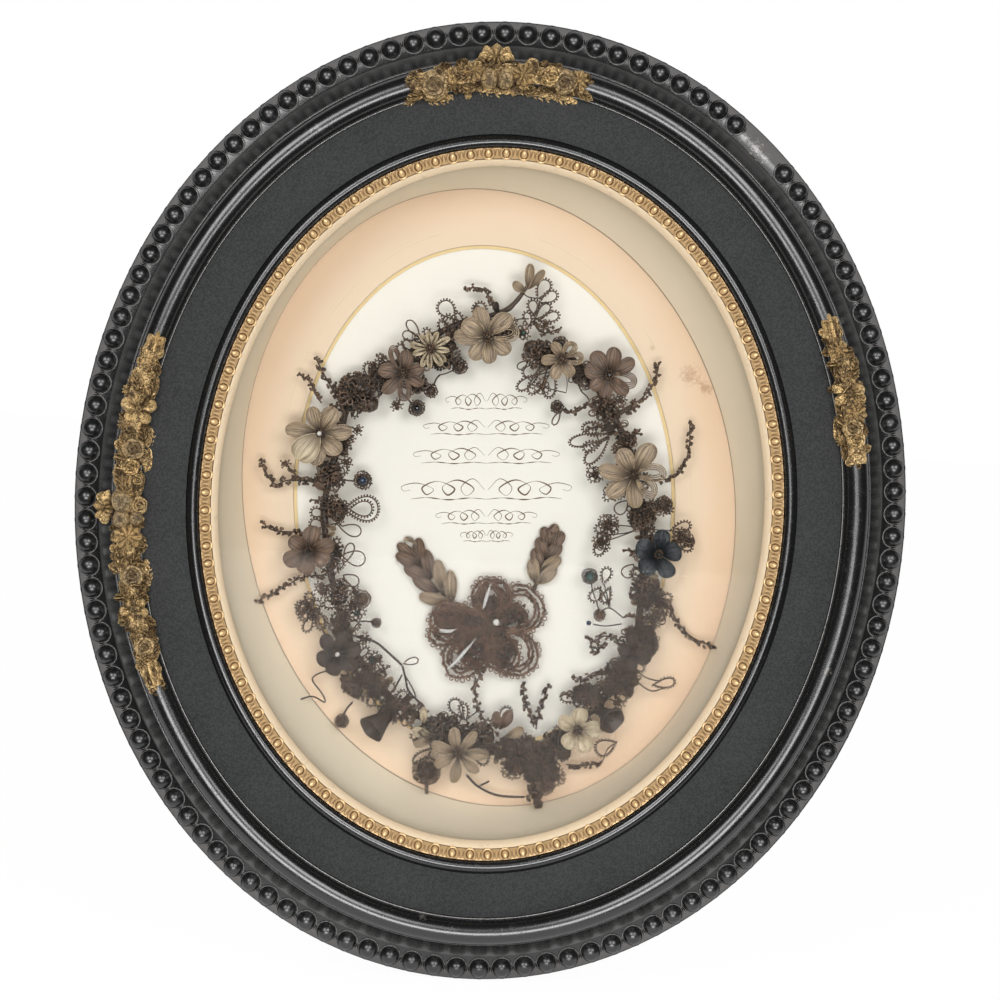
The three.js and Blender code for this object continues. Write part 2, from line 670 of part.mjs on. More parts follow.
// A berried sprig: a straight wire with knobs of beads along its outer half
function sprigSolid(from, to) {
  const along = new THREE.Vector3().subVectors(to, from);
  const length = along.length();
  const profile = [new THREE.Vector2(0, 0), new THREE.Vector2(sprig.radius, 0)];
  for (let i = 0; i < sprig.knots; i++) {
    const startShare = sprig.bareShare + (1 - sprig.bareShare) * i / sprig.knots;
    profile.push(new THREE.Vector2(sprig.radius, length * startShare));
    profile.push(new THREE.Vector2(sprig.berry, length * (startShare + sprig.knotShare / sprig.knots)));
  }
  profile.push(new THREE.Vector2(0, length));
  const geometry = new THREE.LatheGeometry(profile, sprig.sides);
  geometry.applyQuaternion(turnTo(along));
  geometry.translate(from.x, from.y, from.z);
  return solid(geometry);
}

// Sprays: a wire that follows the stem on one side, with sprigs to their tips and buds on their own wires
const sprays = [
  {
    name: 'spray_left', stem: 0, side: -1, from: 0.47, to: 0.79,
    sprigs: [[-1.14, 0.64], [-1.27, 0.55], [-1.46, 0.21], [-1.44, -0.05], [-1.45, -0.38]],
    buds: [[-1.24, -0.42]],
  },
  {
    name: 'spray_left_inner', stem: 0, side: 1, from: 0.4, to: 0.84,
    sprigs: [], buds: [[-0.81, 0.15], [-0.74, -0.34], [-0.68, -0.52], [-0.49, 0.45], [-0.38, 0.55]],
  },
  {
    name: 'spray_top', stem: 0, side: -1, from: 0.9, to: 0.97,
    sprigs: [[-0.24, 0.99]], buds: [[0.17, 1.08]],
  },
  {
    name: 'spray_right', stem: 1, side: 1, from: 0.3, to: 0.72,
    sprigs: [[1.06, 0.68], [1.25, 0.46], [1.49, -0.47]],
    buds: [[1.22, 0.06]],
  },
  {
    name: 'spray_right_inner', stem: 1, side: -1, from: 0.22, to: 0.93,
    sprigs: [[0.6, -0.62], [0.65, -0.46], [0.55, 0.38]],
    buds: [[0.66, -0.2], [0.74, -0.34], [0.74, 0.18], [0.38, 0.46], [0.27, 0.57]],
  },
  {
    name: 'spray_bottom', stem: 0, side: 1, from: 0.03, to: 0.17,
    sprigs: [[0.01, -0.6], [0.28, -0.65], [0.43, -0.66]], buds: [],
  },
];

function spraySolid(item) {
  const curve = stemCurves[item.stem];
  const aside = stem.radius + gap + spray.radius;
  const path = [];
  for (let i = 0; i <= spray.steps; i++) {
    const share = item.from + (item.to - item.from) * i / spray.steps;
    const along = curve.getTangentAt(share);
    const out = new THREE.Vector3(along.z, 0, -along.x).multiplyScalar(item.side * aside);
    path.push(curve.getPointAt(share).add(out).add(front(0, -spray.below, 0)));
  }
  const circle = new THREE.Shape();
  circle.absarc(0, 0, spray.radius, 0, 2 * Math.PI);
  const wire = solid(new THREE.ExtrudeGeometry(circle, {
    curveSegments: sprig.sides / 2,
    steps: spray.steps,
    bevelEnabled: false,
    extrudePath: new THREE.CatmullRomCurve3(path),
  }));
  const pieces = [wire];
  for (const shares of item.sprigs) {
    const tip = wreathPoint(shares, wreath.stand - spray.below);
    pieces.push(sprigSolid(nearestOf(path, tip), tip));
  }
  for (const shares of item.buds) {
    const at = wreathPoint(shares, wreath.stand - spray.below);
    pieces.push(rod(nearestOf(path, at), at, sprig.radius, sprig.sides));
    pieces.push(ball(at, bud.radius));
  }
  return joined(pieces);
}

// Trumpet flowers: a hollow cup on a short stalk, pointing away from the stem
const cups = [
  { name: 'cup_lower_left', shares: [-0.58, -0.8], toShares: [-0.73, -0.95], forwardShare: 0.3 },
  { name: 'cup_lower_right', shares: [0.84, -0.66], toShares: [0.89, -0.77], forwardShare: 1.6 },
];

function cupSolid({ shares, toShares, forwardShare }) {
  const base = wreathPoint(shares, wreath.stand + stem.radius);
  const aside = new THREE.Vector3().subVectors(wreathPoint(toShares, wreath.stand + stem.radius), base);
  const way = aside.normalize().add(front(0, forwardShare, 0)).normalize();
  const start = base.clone().addScaledVector(aside.setY(0).normalize(), stem.radius + cup.base);
  const profile = [
    new THREE.Vector2(0, 0),
    new THREE.Vector2(cup.base, 0),
    new THREE.Vector2(cup.throat, cup.length * cup.throatShare),
    new THREE.Vector2(cup.mouth, cup.length),
    new THREE.Vector2(cup.mouth - cup.wall, cup.length),
    new THREE.Vector2(cup.throat - cup.wall, cup.length * cup.throatShare + cup.wall),
    new THREE.Vector2(0, cup.length * cup.throatShare),
  ];
  const geometry = new THREE.LatheGeometry(profile, cup.sides);
  geometry.applyQuaternion(turnTo(way));
  geometry.translate(start.x, start.y, start.z);
  const throat = start.clone().addScaledVector(way, cup.base / 2);
  return solid(geometry).add(rod(throat, stemSeat(throat), flower.stalk, stem.sides));
}

// Stays hold the stems off the card.
const stays = [
  { name: 'stay_top', shares: [-0.31, 0.79] },
  { name: 'stay_left', shares: [-0.95, -0.33] },
  { name: 'stay_right', shares: [0.99, -0.3] },
];

function staySolid({ shares }) {
  const middle = nearestStem(wreathPoint(shares));
  const foot = rod(front(middle.x, gap, middle.z), front(middle.x, gap + stay.footThick, middle.z),
    stay.foot, stay.sides);
  const post = rod(front(middle.x, gap, middle.z),
    front(middle.x, wreath.stand - stem.radius - gap, middle.z), stay.radius, stay.sides);
  return foot.add(post);
}

// The bow's five loops, by their far ends, in order round the knot
const bowShares = [0.02, -0.42];
const bowLoopShares = [[0.01, -0.22], [-0.33, -0.41], [-0.22, -0.62], [0.25, -0.62], [0.31, -0.31]];

// One loop's outline and its opening, each point by its turn in degrees and its share of the loop's length
const loopShares = [[-30, 0.34], [-24, 0.7], [-12, 0.97], [12, 0.97], [24, 0.7], [30, 0.34]];
const loopOpeningShares = [[0, 0.38], [-12, 0.68], [0, 0.86], [12, 0.68]];

function bowSolid() {
  const knot = wreathPoint(bowShares, bow.stand);
  const place = (angle, reach) =>
    new THREE.Vector2(knot.x + reach * Math.cos(angle), knot.z + reach * Math.sin(angle));
  const outline = [];
  const openings = [];
  for (const shares of bowLoopShares) {
    const along = new THREE.Vector3().subVectors(wreathPoint(shares, bow.stand), knot);
    const middle = Math.atan2(along.z, along.x);
    const point = ([turn, share]) => place(middle + THREE.MathUtils.degToRad(turn), along.length() * share);
    outline.push(...loopShares.map(point));
    openings.push(loopOpeningShares.map(point));
  }
  const low = bow.stand - bow.wire;
  const high = bow.stand + bow.wire;
  const tools = openings.map(opening => plate(opening, low - overrun, high + overrun));
  const loops = plate(outline, low, high).subtract(joined(tools));
  return joined([leaf(knot, 0, bow.knot, bow.stand - gap, bow.knot, 4, 4), loops]);
}

const pearlPlace = () => wreathPoint(bowShares, 2 * bow.stand + bow.pearl);

// Plumes of overlapping hair lobes, flat leaves with scalloped sides, from base to tip
const plumes = [
  { name: 'plume_left', fromShares: [-0.3, -0.31], toShares: [-0.53, -0.05] },
  { name: 'plume_right', fromShares: [0.35, -0.2], toShares: [0.44, 0.04] },
];
const plumeShares = [
  [0, 0.12], [0.1, 0.75], [0.26, 0.9], [0.34, 0.6], [0.42, 1], [0.56, 0.95], [0.64, 0.55], [0.72, 0.8],
  [0.86, 0.6], [0.92, 0.3], [1, 0.1],
];

function plumeSolid({ fromShares, toShares }) {
  const base = wreathPoint(fromShares, plume.stand);
  const tip = wreathPoint(toShares, plume.stand);
  const along = new THREE.Vector2(tip.x - base.x, tip.z - base.z);
  const across = new THREE.Vector2(-along.y, along.x).normalize().multiplyScalar(plume.halfWidth);
  const point = ([share, side]) =>
    new THREE.Vector2(base.x, base.z).addScaledVector(along, share).addScaledVector(across, side);
  const otherSide = plumeShares.map(([share, side]) => point([share, -side]));
  const outline = [...plumeShares.map(point), ...otherSide.reverse()];
  const blade = plate(outline, plume.stand - plume.lobeThick / 2, plume.stand + plume.lobeThick / 2);
  return blade.add(rod(base, tip, plume.rib, sprig.sides));
}

// Assembly

const finishes = {
  ebonised: { color: 0x0c0c0d, roughness: 0.25, metalness: 0 },
  panelBlack: { color: 0x1b1b1c, roughness: 0.75, metalness: 0 },
  pine: { color: 0x8a6a45, roughness: 0.7, metalness: 0 },
  gilt: { color: 0xc79a52, roughness: 0.4, metalness: 0.8 },
  paleGilt: { color: 0xe2bd85, roughness: 0.5, metalness: 0.4 },
  glass: { color: 0xf4f8f8, roughness: 0.05, metalness: 0, transparent: true, opacity: 0.12 },
  creamPaper: { color: 0xc9bfa3, roughness: 0.9, metalness: 0 },
  peachMat: { color: 0xe3c2a2, roughness: 0.9, metalness: 0 },
  card: { color: 0xe9e8de, roughness: 0.85, metalness: 0 },
  brass: { color: 0xb08d46, roughness: 0.35, metalness: 1 },
  steel: { color: 0x77736c, roughness: 0.5, metalness: 1 },
  hairDark: { color: 0x2b1d15, roughness: 0.6, metalness: 0 },
  hairPale: { color: 0x8d7a63, roughness: 0.55, metalness: 0 },
  hairCopper: { color: 0x4a2c18, roughness: 0.55, metalness: 0 },
  pearl: { color: 0xe8e6e2, roughness: 0.2, metalness: 0 },
};

function piece(name, body, finish) {
  const mesh = new THREE.Mesh(geometryOf(body), new THREE.MeshStandardMaterial(finishes[finish]));
  mesh.name = name;
  return mesh;
}

function frameGroup() {
  const group = new THREE.Group();
  const whole = carcassRing();
  const names = ['carcass_top', 'carcass_left', 'carcass_bottom', 'carcass_right'];
  names.forEach((name, index) => {
    const start = Math.PI / 4 + index * Math.PI / 2;
    const segment = whole.intersect(quarterTool(start, carcass.level - overrun, panelSeat + overrun));
    group.add(piece(name, index === 0 ? drilledForScrews(segment) : segment, 'pine'));
  });
  const strips = ['bead_strip_upper_right', 'bead_strip_upper_left', 'bead_strip_lower_left',
    'bead_strip_lower_right'];
  strips.forEach((name, index) => group.add(piece(name, beadStripQuarter(index), 'ebonised')));
  group.add(piece('torus_moulding', torusMoulding(), 'ebonised'));
  group.add(piece('flat_panel', flatPanel(), 'panelBlack'));
  group.add(piece('inner_bead_moulding', innerBeadMoulding(), 'ebonised'));
  group.add(piece('egg_and_dart_band', eggBandRing(), 'gilt'));
  group.add(piece('gilt_slip', giltSlip(), 'paleGilt'));
  for (const item of ornaments) group.add(piece(item.name, ornamentSolid(item), 'gilt'));
  return group;
}

function boxGroup() {
  const group = new THREE.Group();
  group.add(piece('glass_pane', glassPane(), 'glass'));
  group.add(piece('cove_liner', linerSolid(), 'creamPaper'));
  group.add(piece('box_side', drilledForBrads(boxSideRing()), 'pine'));
  group.add(piece('mat_board', framePlate(boxInner + gap, matBack, matFront, matHole(0)), 'peachMat'));
  group.add(piece('mat_gilt_edge', matEdgeRing(), 'gilt'));
  group.add(piece('card', framePlate(boxInner + gap, backboard.thick + gap, cardFace), 'card'));
  group.add(piece('backboard', drilledForBrads(framePlate(boxOuter, 0, backboard.thick)), 'pine'));
  for (let i = 0; i < quarters; i++) {
    const nail = piece('brad_' + (i + 1), bradSolid(0), 'steel');
    nail.position.copy(bradPlace(i));
    group.add(nail);
  }
  return group;
}

function hangerGroup() {
  const group = new THREE.Group();
  group.add(piece('hanger_plate', hangerPlate(), 'brass'));
  const bowRing = piece('hanger_ring', hangerRing(), 'brass');
  bowRing.position.copy(front(0, hingeLevel, hingeHeight));
  group.add(bowRing);
  screwHeights.forEach((height, index) => {
    const fixing = piece('hanger_screw_' + (index + 1), screwSolid(), 'brass');
    fixing.position.z = height;
    group.add(fixing);
  });
  return group;
}

function wreathGroup() {
  const group = new THREE.Group();
  group.position.copy(front(0, cardFace, 0));
  group.add(piece('stem_left', stemSolid(stemCurves[0], bunchLeftShares), 'hairDark'));
  group.add(piece('stem_right', stemSolid(stemCurves[1], bunchRightShares), 'hairDark'));
  for (const item of stays) group.add(piece(item.name, staySolid(item), 'steel'));
  for (const item of flowers) {
    group.add(piece(item.name, flowerSolid(item), /pale|light/.test(item.name) ? 'hairPale' : 'hairDark'));
  }
  for (const item of sprays) group.add(piece(item.name, spraySolid(item), 'hairDark'));
  for (const item of cups) group.add(piece(item.name, cupSolid(item), 'hairDark'));
  group.add(piece('bow', bowSolid(), 'hairCopper'));
  const pearl = piece('bow_pearl', ball(new THREE.Vector3(), bow.pearl), 'pearl');
  pearl.position.copy(pearlPlace());
  group.add(pearl);
  for (const item of plumes) group.add(piece(item.name, plumeSolid(item), 'hairDark'));
  return group;
}

const shadowBox = new THREE.Group();
shadowBox.add(frameGroup(), boxGroup(), hangerGroup(), wreathGroup());

export default shadowBox;
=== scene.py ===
import random
from math import acos, asin, atan2, cos, exp, hypot, pi, radians, sin, sqrt, tau

import bmesh
import bpy
from mathutils import Matrix, Vector


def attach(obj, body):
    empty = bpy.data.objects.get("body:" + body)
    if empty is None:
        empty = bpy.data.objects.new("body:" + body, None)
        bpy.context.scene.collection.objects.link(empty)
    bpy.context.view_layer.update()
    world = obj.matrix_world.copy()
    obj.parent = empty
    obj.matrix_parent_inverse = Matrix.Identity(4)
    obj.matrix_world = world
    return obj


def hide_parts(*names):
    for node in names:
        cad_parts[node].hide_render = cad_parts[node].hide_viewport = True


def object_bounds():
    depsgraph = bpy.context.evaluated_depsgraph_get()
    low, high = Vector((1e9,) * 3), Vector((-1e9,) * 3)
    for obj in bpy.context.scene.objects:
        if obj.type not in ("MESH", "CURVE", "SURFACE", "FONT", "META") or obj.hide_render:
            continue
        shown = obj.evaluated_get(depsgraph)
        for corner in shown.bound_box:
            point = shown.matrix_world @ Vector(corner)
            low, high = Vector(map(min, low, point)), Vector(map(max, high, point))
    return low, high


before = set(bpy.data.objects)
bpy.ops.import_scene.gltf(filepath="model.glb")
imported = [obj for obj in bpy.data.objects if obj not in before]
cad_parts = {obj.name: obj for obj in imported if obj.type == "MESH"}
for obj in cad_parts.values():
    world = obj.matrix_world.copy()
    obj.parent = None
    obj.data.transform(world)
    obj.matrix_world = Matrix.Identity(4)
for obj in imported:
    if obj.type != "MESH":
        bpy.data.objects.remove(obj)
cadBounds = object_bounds()

mm = 0.001
body = "shadow_box"
halfWidth, halfHeight = cadBounds[1].x, cadBounds[1].z  # the frame's outer oval


# shader maths

class Wire:  # a socket or number that takes part in shader maths
    def __init__(self, tree, value):
        self.tree, self.value = tree, value

    def maths(self, operation, *others, clamp=False):
        node = self.tree.nodes.new("ShaderNodeMath")
        node.operation, node.use_clamp = operation, clamp
        for socket, value in zip(node.inputs, (self, *others)):
            link(self.tree, value, socket)
        return Wire(self.tree, node.outputs[0])

    def __add__(self, other): return self.maths("ADD", other)
    def __radd__(self, other): return self.maths("ADD", other)
    def __mul__(self, other): return self.maths("MULTIPLY", other)
    def __rmul__(self, other): return self.maths("MULTIPLY", other)
    def __sub__(self, other): return self.maths("SUBTRACT", other)
    def __rsub__(self, other): return Wire(self.tree, other).maths("SUBTRACT", self)
    def __truediv__(self, other): return self.maths("DIVIDE", other)
    def __pow__(self, other): return self.maths("POWER", other)


def link(tree, value, socket):
    if isinstance(value, Wire):
        value = value.value
    if isinstance(value, bpy.types.NodeSocket):
        tree.links.new(value, socket)
    elif hasattr(value, "__len__") and len(value) == 3 and len(socket.default_value) == 4:
        socket.default_value = (*value, 1)
    else:
        socket.default_value = value


class Finish:  # a material under construction
    def __init__(self, name, roughness, specular=0.5, metallic=0.0, coat=0.0, coatRoughness=0.1):
        self.material = bpy.data.materials.new(name)
        self.material.use_nodes = True
        self.tree = self.material.node_tree
        self.shader = self.tree.nodes["Principled BSDF"]
        self.set("Roughness", roughness)
        self.set("Specular IOR Level", specular)
        self.set("Metallic", metallic)
        self.set("Coat Weight", coat)
        self.set("Coat Roughness", coatRoughness)

    def node(self, kind, settings=None, output=0, **values):
        made = self.tree.nodes.new("ShaderNode" + kind)
        for key, value in (settings or {}).items():
            if key == "stops":
                ramp = made.color_ramp
                while len(ramp.elements) < len(value):
                    ramp.elements.new(0.5)
                for element, (place, shade) in zip(ramp.elements, value):
                    element.position = place
                    element.color = (*shade, 1) if hasattr(shade, "__len__") else (shade, shade, shade, 1)
            else:
                setattr(made, key, value)
        for key, value in values.items():
            socket = made.inputs[int(key[1:])] if key[0] == "i" and key[1:].isdigit() else made.inputs[key]
            link(self.tree, value, socket)
        return Wire(self.tree, made.outputs[output])

    def set(self, socket, value):
        link(self.tree, value, self.shader.inputs[socket])

    def place(self):  # object coordinates, in metres
        return self.node("TexCoord", output=3)

    def axes(self):
        parts = self.node("SeparateXYZ", Vector=self.place()).value.node
        return [Wire(self.tree, parts.outputs[i]) for i in range(3)]

    def noise(self, size, detail=3.0, roughness=0.55, distortion=0.0):  # size in mm
        return self.node("TexNoise", Vector=self.place(), Scale=1 / (size * mm), Detail=detail,
                         Roughness=roughness, Distortion=distortion)

    def attribute(self, name):
        return self.node("Attribute", {"attribute_name": name}, output=2)

    def steps(self, wire, *stops):  # an eased ramp through (place, value)
        ramp = self.node("ValToRGB", {"stops": stops}, Fac=wire)
        ramp.value.node.color_ramp.interpolation = "EASE"
        return ramp

    def mix(self, amount, first, second):
        node = self.tree.nodes.new("ShaderNodeMix")
        node.data_type = "RGBA"
        for index, value in ((0, amount), (6, first), (7, second)):
            link(self.tree, value, node.inputs[index])
        return Wire(self.tree, node.outputs[2])

    def hollows(self, distance, power=1.0):  # 0 in hollows, 1 in the open
        return self.node("AmbientOcclusion", {"samples": 4}, output=1, Distance=distance * mm) ** power

    def finished(self, colour, roughness, height, depth):  # depth of the bump in mm
        self.set("Base Color", colour)
        self.set("Roughness", roughness)
        self.set("Normal", self.node("Bump", Height=height, Distance=depth * mm, Strength=1.0))
        return self.material


def darker(colour, share):
    return tuple(share * part for part in colour)


photo = {"middle": (491.7, 501.8), "lag": (0.047, 0.104), "plane": 60.0, "scale": 0.637, "distance": 1900.0,
         "roll": 3.0, "pixel": 0.65}  # pixel: mm across one pixel at the wreath


def fromPhoto(place, out):  # a place in the photo, out mm from the wall
    lag = photo["plane"] - out
    dx, dy = (place[i] - photo["middle"][i] + photo["lag"][i] * lag for i in (0, 1))
    scale = photo["scale"] * (1 + lag / photo["distance"])
    turn = radians(photo["roll"])
    x, z = dx * cos(turn) + dy * sin(turn), dx * sin(turn) - dy * cos(turn)
    return Vector((x * scale, -out, z * scale)) * mm


def awayFrom(mark, size, x, z):  # how far from a mark, over its size in mm
    return ((x - mark.x) ** 2 + (z - mark.z) ** 2) ** 0.5 / (size * mm)


scars = {"level": 80, "marks": (  # places in the photo, radius in mm, and how bare
    ((758, 146), 7, 0.8), ((766, 156), 5, 0.7), ((746, 135), 5, 0.6), ((320, 128), 3, 0.45), ((314, 131), 2.2, 0.4),
    ((828, 668), 4, 0.3), ((765, 755), 4, 0.3), ((422, 915), 3.5, 0.35), ((480, 918), 3, 0.3), ((535, 912), 3, 0.3),
    ((843, 318), 3.5, 0.4), ((585, 172), 2.5, 0.4), ((630, 868), 2.2, 0.4))}


def ebony():  # black shellac over turned wood, dusty in the hollows and rubbed on the edges, with painted highlights on the fillets, edges and bead rings and a painted sheen on the cove
    finish = Finish("ebony", 0.28, specular=0.85)
    cloud = finish.noise(28, 4)
    fine = finish.noise(1.6, 4, 0.7)
    worn, dusty = finish.attribute("worn"), finish.attribute("dusty")
    scuffs = finish.steps(fine * 0.55 + finish.noise(9, 5, 0.7) * 0.55, (0.58, 0), (0.70, 1))
    rubAndHighlight = worn * finish.steps(fine, (0.30, 0.25), (0.52, 1))
    dust = finish.steps(dusty * 0.75 + (finish.noise(3.2, 5, 0.75) - 0.5) * 1.3, (0.3, 0), (0.85, 1))
    colour = finish.mix(cloud, (0.003, 0.003, 0.0035), (0.008, 0.008, 0.0085))
    veil = finish.attribute("veil") * (0.2 + cloud * 0.5)
    # painted highlights: light lines on fillets, eased edges and bead rings, partly real rubbing; and a painted
    # grey sheen on the cove
    for amount, shade in ((scuffs * 0.05, (0.10, 0.095, 0.09)), (dust * 0.5, (0.14, 0.13, 0.125)),
                          (rubAndHighlight * 0.75, (0.28, 0.27, 0.255)), (veil, (0.13, 0.128, 0.123))):
        colour = finish.mix(amount, colour, shade)
    x, _, z = finish.axes()
    chipped = finish.noise(1.7, 5, 0.8)
    for place, size, bare in scars["marks"]:
        near = awayFrom(fromPhoto(place, scars["level"]), size, x, z)
        lost = finish.steps(near * 0.7 + (chipped - 0.5) * 3.2, (0.1, bare), (0.42, 0))
        colour = finish.mix(lost, colour, (0.27, 0.25, 0.225))
    roughness = 0.19 + cloud * 0.08 + scuffs * 0.14 + dust * 0.25 + dusty * 0.2
    return finish.finished(colour, roughness, finish.noise(20, 2) + fine * 0.05, 0.10)


def panelPaint():  # matt black with a fine pebbled texture
    finish = Finish("panelPaint", 0.65, specular=0.12)
    speck = finish.noise(1.1, 3, 0.6)
    patch = finish.noise(38, 4, 0.6)
    pale = finish.steps(finish.noise(0.9, 2, 0.5), (0.62, 0), (0.75, 1))
    grey = patch * 0.4 + finish.steps(speck, (0.36, 0), (0.64, 1)) * 0.6
    colour = finish.mix(grey, (0.018, 0.019, 0.019), (0.050, 0.052, 0.051))
    colour = finish.mix(pale * 0.28, colour, (0.09, 0.09, 0.09))
    return finish.finished(colour, 0.5 + speck * 0.28, speck, 0.16)


def gilding(name, light, dark, hollow, power=1.3, metallic=0.55, depth=4.0, bare=(0.30, 0.25, 0.21), carved=0.1,
            sheen=0.3, veined=0.0):  # leaf over bole, brown in the hollows, where bole and painted shade show
    finish = Finish(name, sheen, metallic=metallic)
    patch = finish.noise(7, 4, 0.65)
    fine = finish.noise(1.3, 4, 0.7)
    raised = finish.hollows(depth, power)
    rubbed = finish.steps(patch * 0.6 + fine * 0.4, (0.53, 0), (0.66, 1))
    furrow = (finish.noise(3.0, 1.0, distortion=0.8) - 0.5).maths("ABSOLUTE")  # 0 along the carver's cuts
    ribs = finish.steps(furrow, (0.0, 0), (0.055, 1))
    colour = finish.mix(patch, dark, light)
    # painted shade in the carver's cuts, with the bole's brown
    colour = finish.mix((1 - ribs) * veined, colour, hollow)
    colour = finish.mix(rubbed * 0.3, colour, hollow)
    lost = finish.attribute("bare") * finish.steps(fine, (0.3, 0.6), (0.55, 1))
    colour = finish.mix(lost * 0.93, colour, bare)
    finish.set("Metallic", metallic * raised * (1 - rubbed * 0.5) * (1 - lost))
    # painted shade: ambient occlusion browns the hollows, over the bole
    return finish.finished(finish.mix(raised, hollow, colour), sheen + fine * 0.2 + rubbed * 0.2,
                           fine * 0.5 + finish.noise(2.4, 4, 0.75) + ribs * veined, carved)


def pineWood(name, light, dark, aged, turn=0.0):  # the grain runs along X, or turned about Y
    finish = Finish(name, 0.62, specular=0.3)
    lain = finish.node("Mapping", Vector=finish.place(), Rotation=(0, turn, 0))
    lain = finish.node("Mapping", Vector=lain, Scale=(0.09, 1, 1))
    grain = finish.node("TexWave", {"wave_type": "BANDS", "bands_direction": "Z"}, Vector=lain,
                        Scale=52.0, Distortion=9.0, Detail=3.0, **{"Detail Scale": 0.5})
    fibre = finish.node("TexNoise", Vector=lain, Scale=850.0, Detail=4.0, Roughness=0.7)
    age = finish.noise(60, 4)
    knocks = finish.steps(finish.noise(5, 5, 0.8) * 0.6 + finish.noise(40, 2) * 0.5, (0.66, 0), (0.78, 1))
    colour = finish.mix(grain * 0.35 + finish.steps(fibre, (0.35, 0), (0.65, 0.5)), dark, light)
    colour = finish.mix(fibre * 0.5, colour, darker(dark, 0.6))
    colour = finish.mix(finish.steps(age, (0.3, 0), (0.75, 1)) * 0.6, colour, aged)
    colour = finish.mix(knocks * 0.45, colour, darker(aged, 0.5))
    return finish.finished(colour, 0.55 + fibre * 0.2, fibre + grain * 0.3, 0.15)


def agedPaper(name, light, dark, stain, spotted):  # its finish and colour, which may be worked on
    finish = Finish(name, 0.86, specular=0.2)
    cloud = finish.noise(55, 4, 0.6)
    spots = finish.steps(finish.noise(6.5, 4, 0.72) * 0.7 + finish.noise(45, 2) * 0.45, (0.70, 0), (0.80, 1))
    return finish, finish.mix(spots * spotted, finish.mix(cloud, dark, light), stain)


def paperDone(finish, colour):
    return finish.finished(colour, 0.86, finish.noise(0.9, 3, 0.7), 0.05)


def plainMetal(name, light, dark, roughness):
    finish = Finish(name, roughness, metallic=1.0)
    cloud = finish.noise(5, 4, 0.7)
    fine = finish.noise(0.7, 3, 0.7)
    colour = finish.mix(cloud * 0.8 + fine * 0.2, dark, light)
    return finish.finished(colour, roughness + (cloud - 0.5) * 0.3, fine, 0.05)


# shaping helpers

def camel(node):  # the piece's name for a node
    first, *rest = node.split("_")
    return first + "".join(word.title() for word in rest)


def meshOf(bm, name="part"):  # frees the bmesh
    mesh = bpy.data.meshes.new(name)
    bm.to_mesh(mesh)
    bm.free()
    return mesh


def inScene(name, data):
    made = bpy.data.objects.new(name, data)
    bpy.context.scene.collection.objects.link(made)
    return made


def finishPiece(bm, material, slot, *nodes, name=None, sharp=40):
    name = name or camel(nodes[0])
    mesh = meshOf(bm, name)
    mesh.shade_smooth()
    mesh.set_sharp_from_angle(angle=radians(sharp))
    for one in material if isinstance(material, list) else [material]:
        mesh.materials.append(one)
    piece = inScene(name, mesh)
    if nodes:
        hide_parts(*nodes)
    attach(piece, body)


def ovalPlace(inset, angle, level):
    return Vector(((halfWidth - inset) * cos(angle), -level, (halfHeight - inset) * sin(angle)))


def insetOf(place):  # mm inside the frame's outer oval
    low, high = 0.0, 0.15
    for _ in range(24):
        middle = (low + high) / 2
        outside = (place.x / (halfWidth - middle)) ** 2 + (place.z / (halfHeight - middle)) ** 2 > 1
        low, high = (low, middle) if outside else (middle, high)
    return low / mm


def arc(inset, level, radius, start, end, count):  # a round in a section, in degrees
    turns = [radians(start + (end - start) * i / count) for i in range(count + 1)]
    return [(inset + radius * cos(t), level + radius * sin(t)) for t in turns]


def spun(bm, verts, edges, steps, sweep=tau):
    bmesh.ops.spin(bm, geom=[*verts, *edges], cent=(0, 0, 0), axis=(0, 0, 1), angle=sweep, steps=steps,
                   use_merge=sweep > tau - 0.001)


def ovalRing(section, easing=0.4, steps=240, start=0.0, sweep=tau, place=ovalPlace, worn=1.0):
    # A closed section of (inset, level) in mm is spun round and laid on the frame's ovals
    bm = bmesh.new()
    wearAndHighlightLayer = bm.verts.layers.float.new("worn")
    bm.verts.layers.float.new("dusty")
    bm.faces.new([bm.verts.new((1 - inset * mm, 0, level * mm)) for inset, level in section])
    if easing:
        corners = [v for v in bm.verts if v.calc_edge_angle(0) > 0.6]
        eased = bmesh.ops.bevel(bm, geom=corners, offset=easing * mm, affect="VERTICES", segments=2,
                                profile=0.5, material=-1)
        # the eased corners are marked lighter: rubbed, and a painted highlight
        for vert in eased["verts"]:
            vert[wearAndHighlightLayer] = worn
    bmesh.ops.delete(bm, geom=bm.faces[:], context="FACES_ONLY")
    spun(bm, bm.verts, bm.edges, steps, sweep)
    if sweep < tau:
        bmesh.ops.holes_fill(bm, edges=[e for e in bm.edges if e.is_boundary])
    for vert in bm.verts:
        inset = 1 - hypot(vert.co.x, vert.co.y)
        vert.co = place(inset, atan2(vert.co.y, vert.co.x) + start, vert.co.z)
    bmesh.ops.recalc_face_normals(bm, faces=bm.faces)
    return bm


def evenAngles(inset, count):  # angles spaced evenly along the oval at an inset
    fine = 2880  # steps of the walk round
    walk = [ovalPlace(inset, tau * i / fine, 0) for i in range(fine + 1)]
    lengths = [0.0]
    for last, here in zip(walk, walk[1:]):
        lengths.append(lengths[-1] + (here - last).length)
    angles, step = [], 0
    for i in range(count):
        wanted = lengths[-1] * (i + 0.5) / count
        while lengths[step + 1] < wanted:
            step += 1
        part = (wanted - lengths[step]) / (lengths[step + 1] - lengths[step])
        angles.append(tau * (step + part) / fine)
    return angles


def standing(inset, angle, level, lean=0.0):
    # A place on the frame: X along the oval, Y towards the middle, Z out of the wall, leaning inwards
    at = ovalPlace(inset, angle, level)
    along = (ovalPlace(inset, angle + 0.001, level) - at).normalized()
    out = Vector((0, -1, 0))
    turn = Matrix((along, out.cross(along), out)).transposed().to_4x4()
    return Matrix.Translation(at) @ turn @ Matrix.Rotation(-lean, 4, "X")


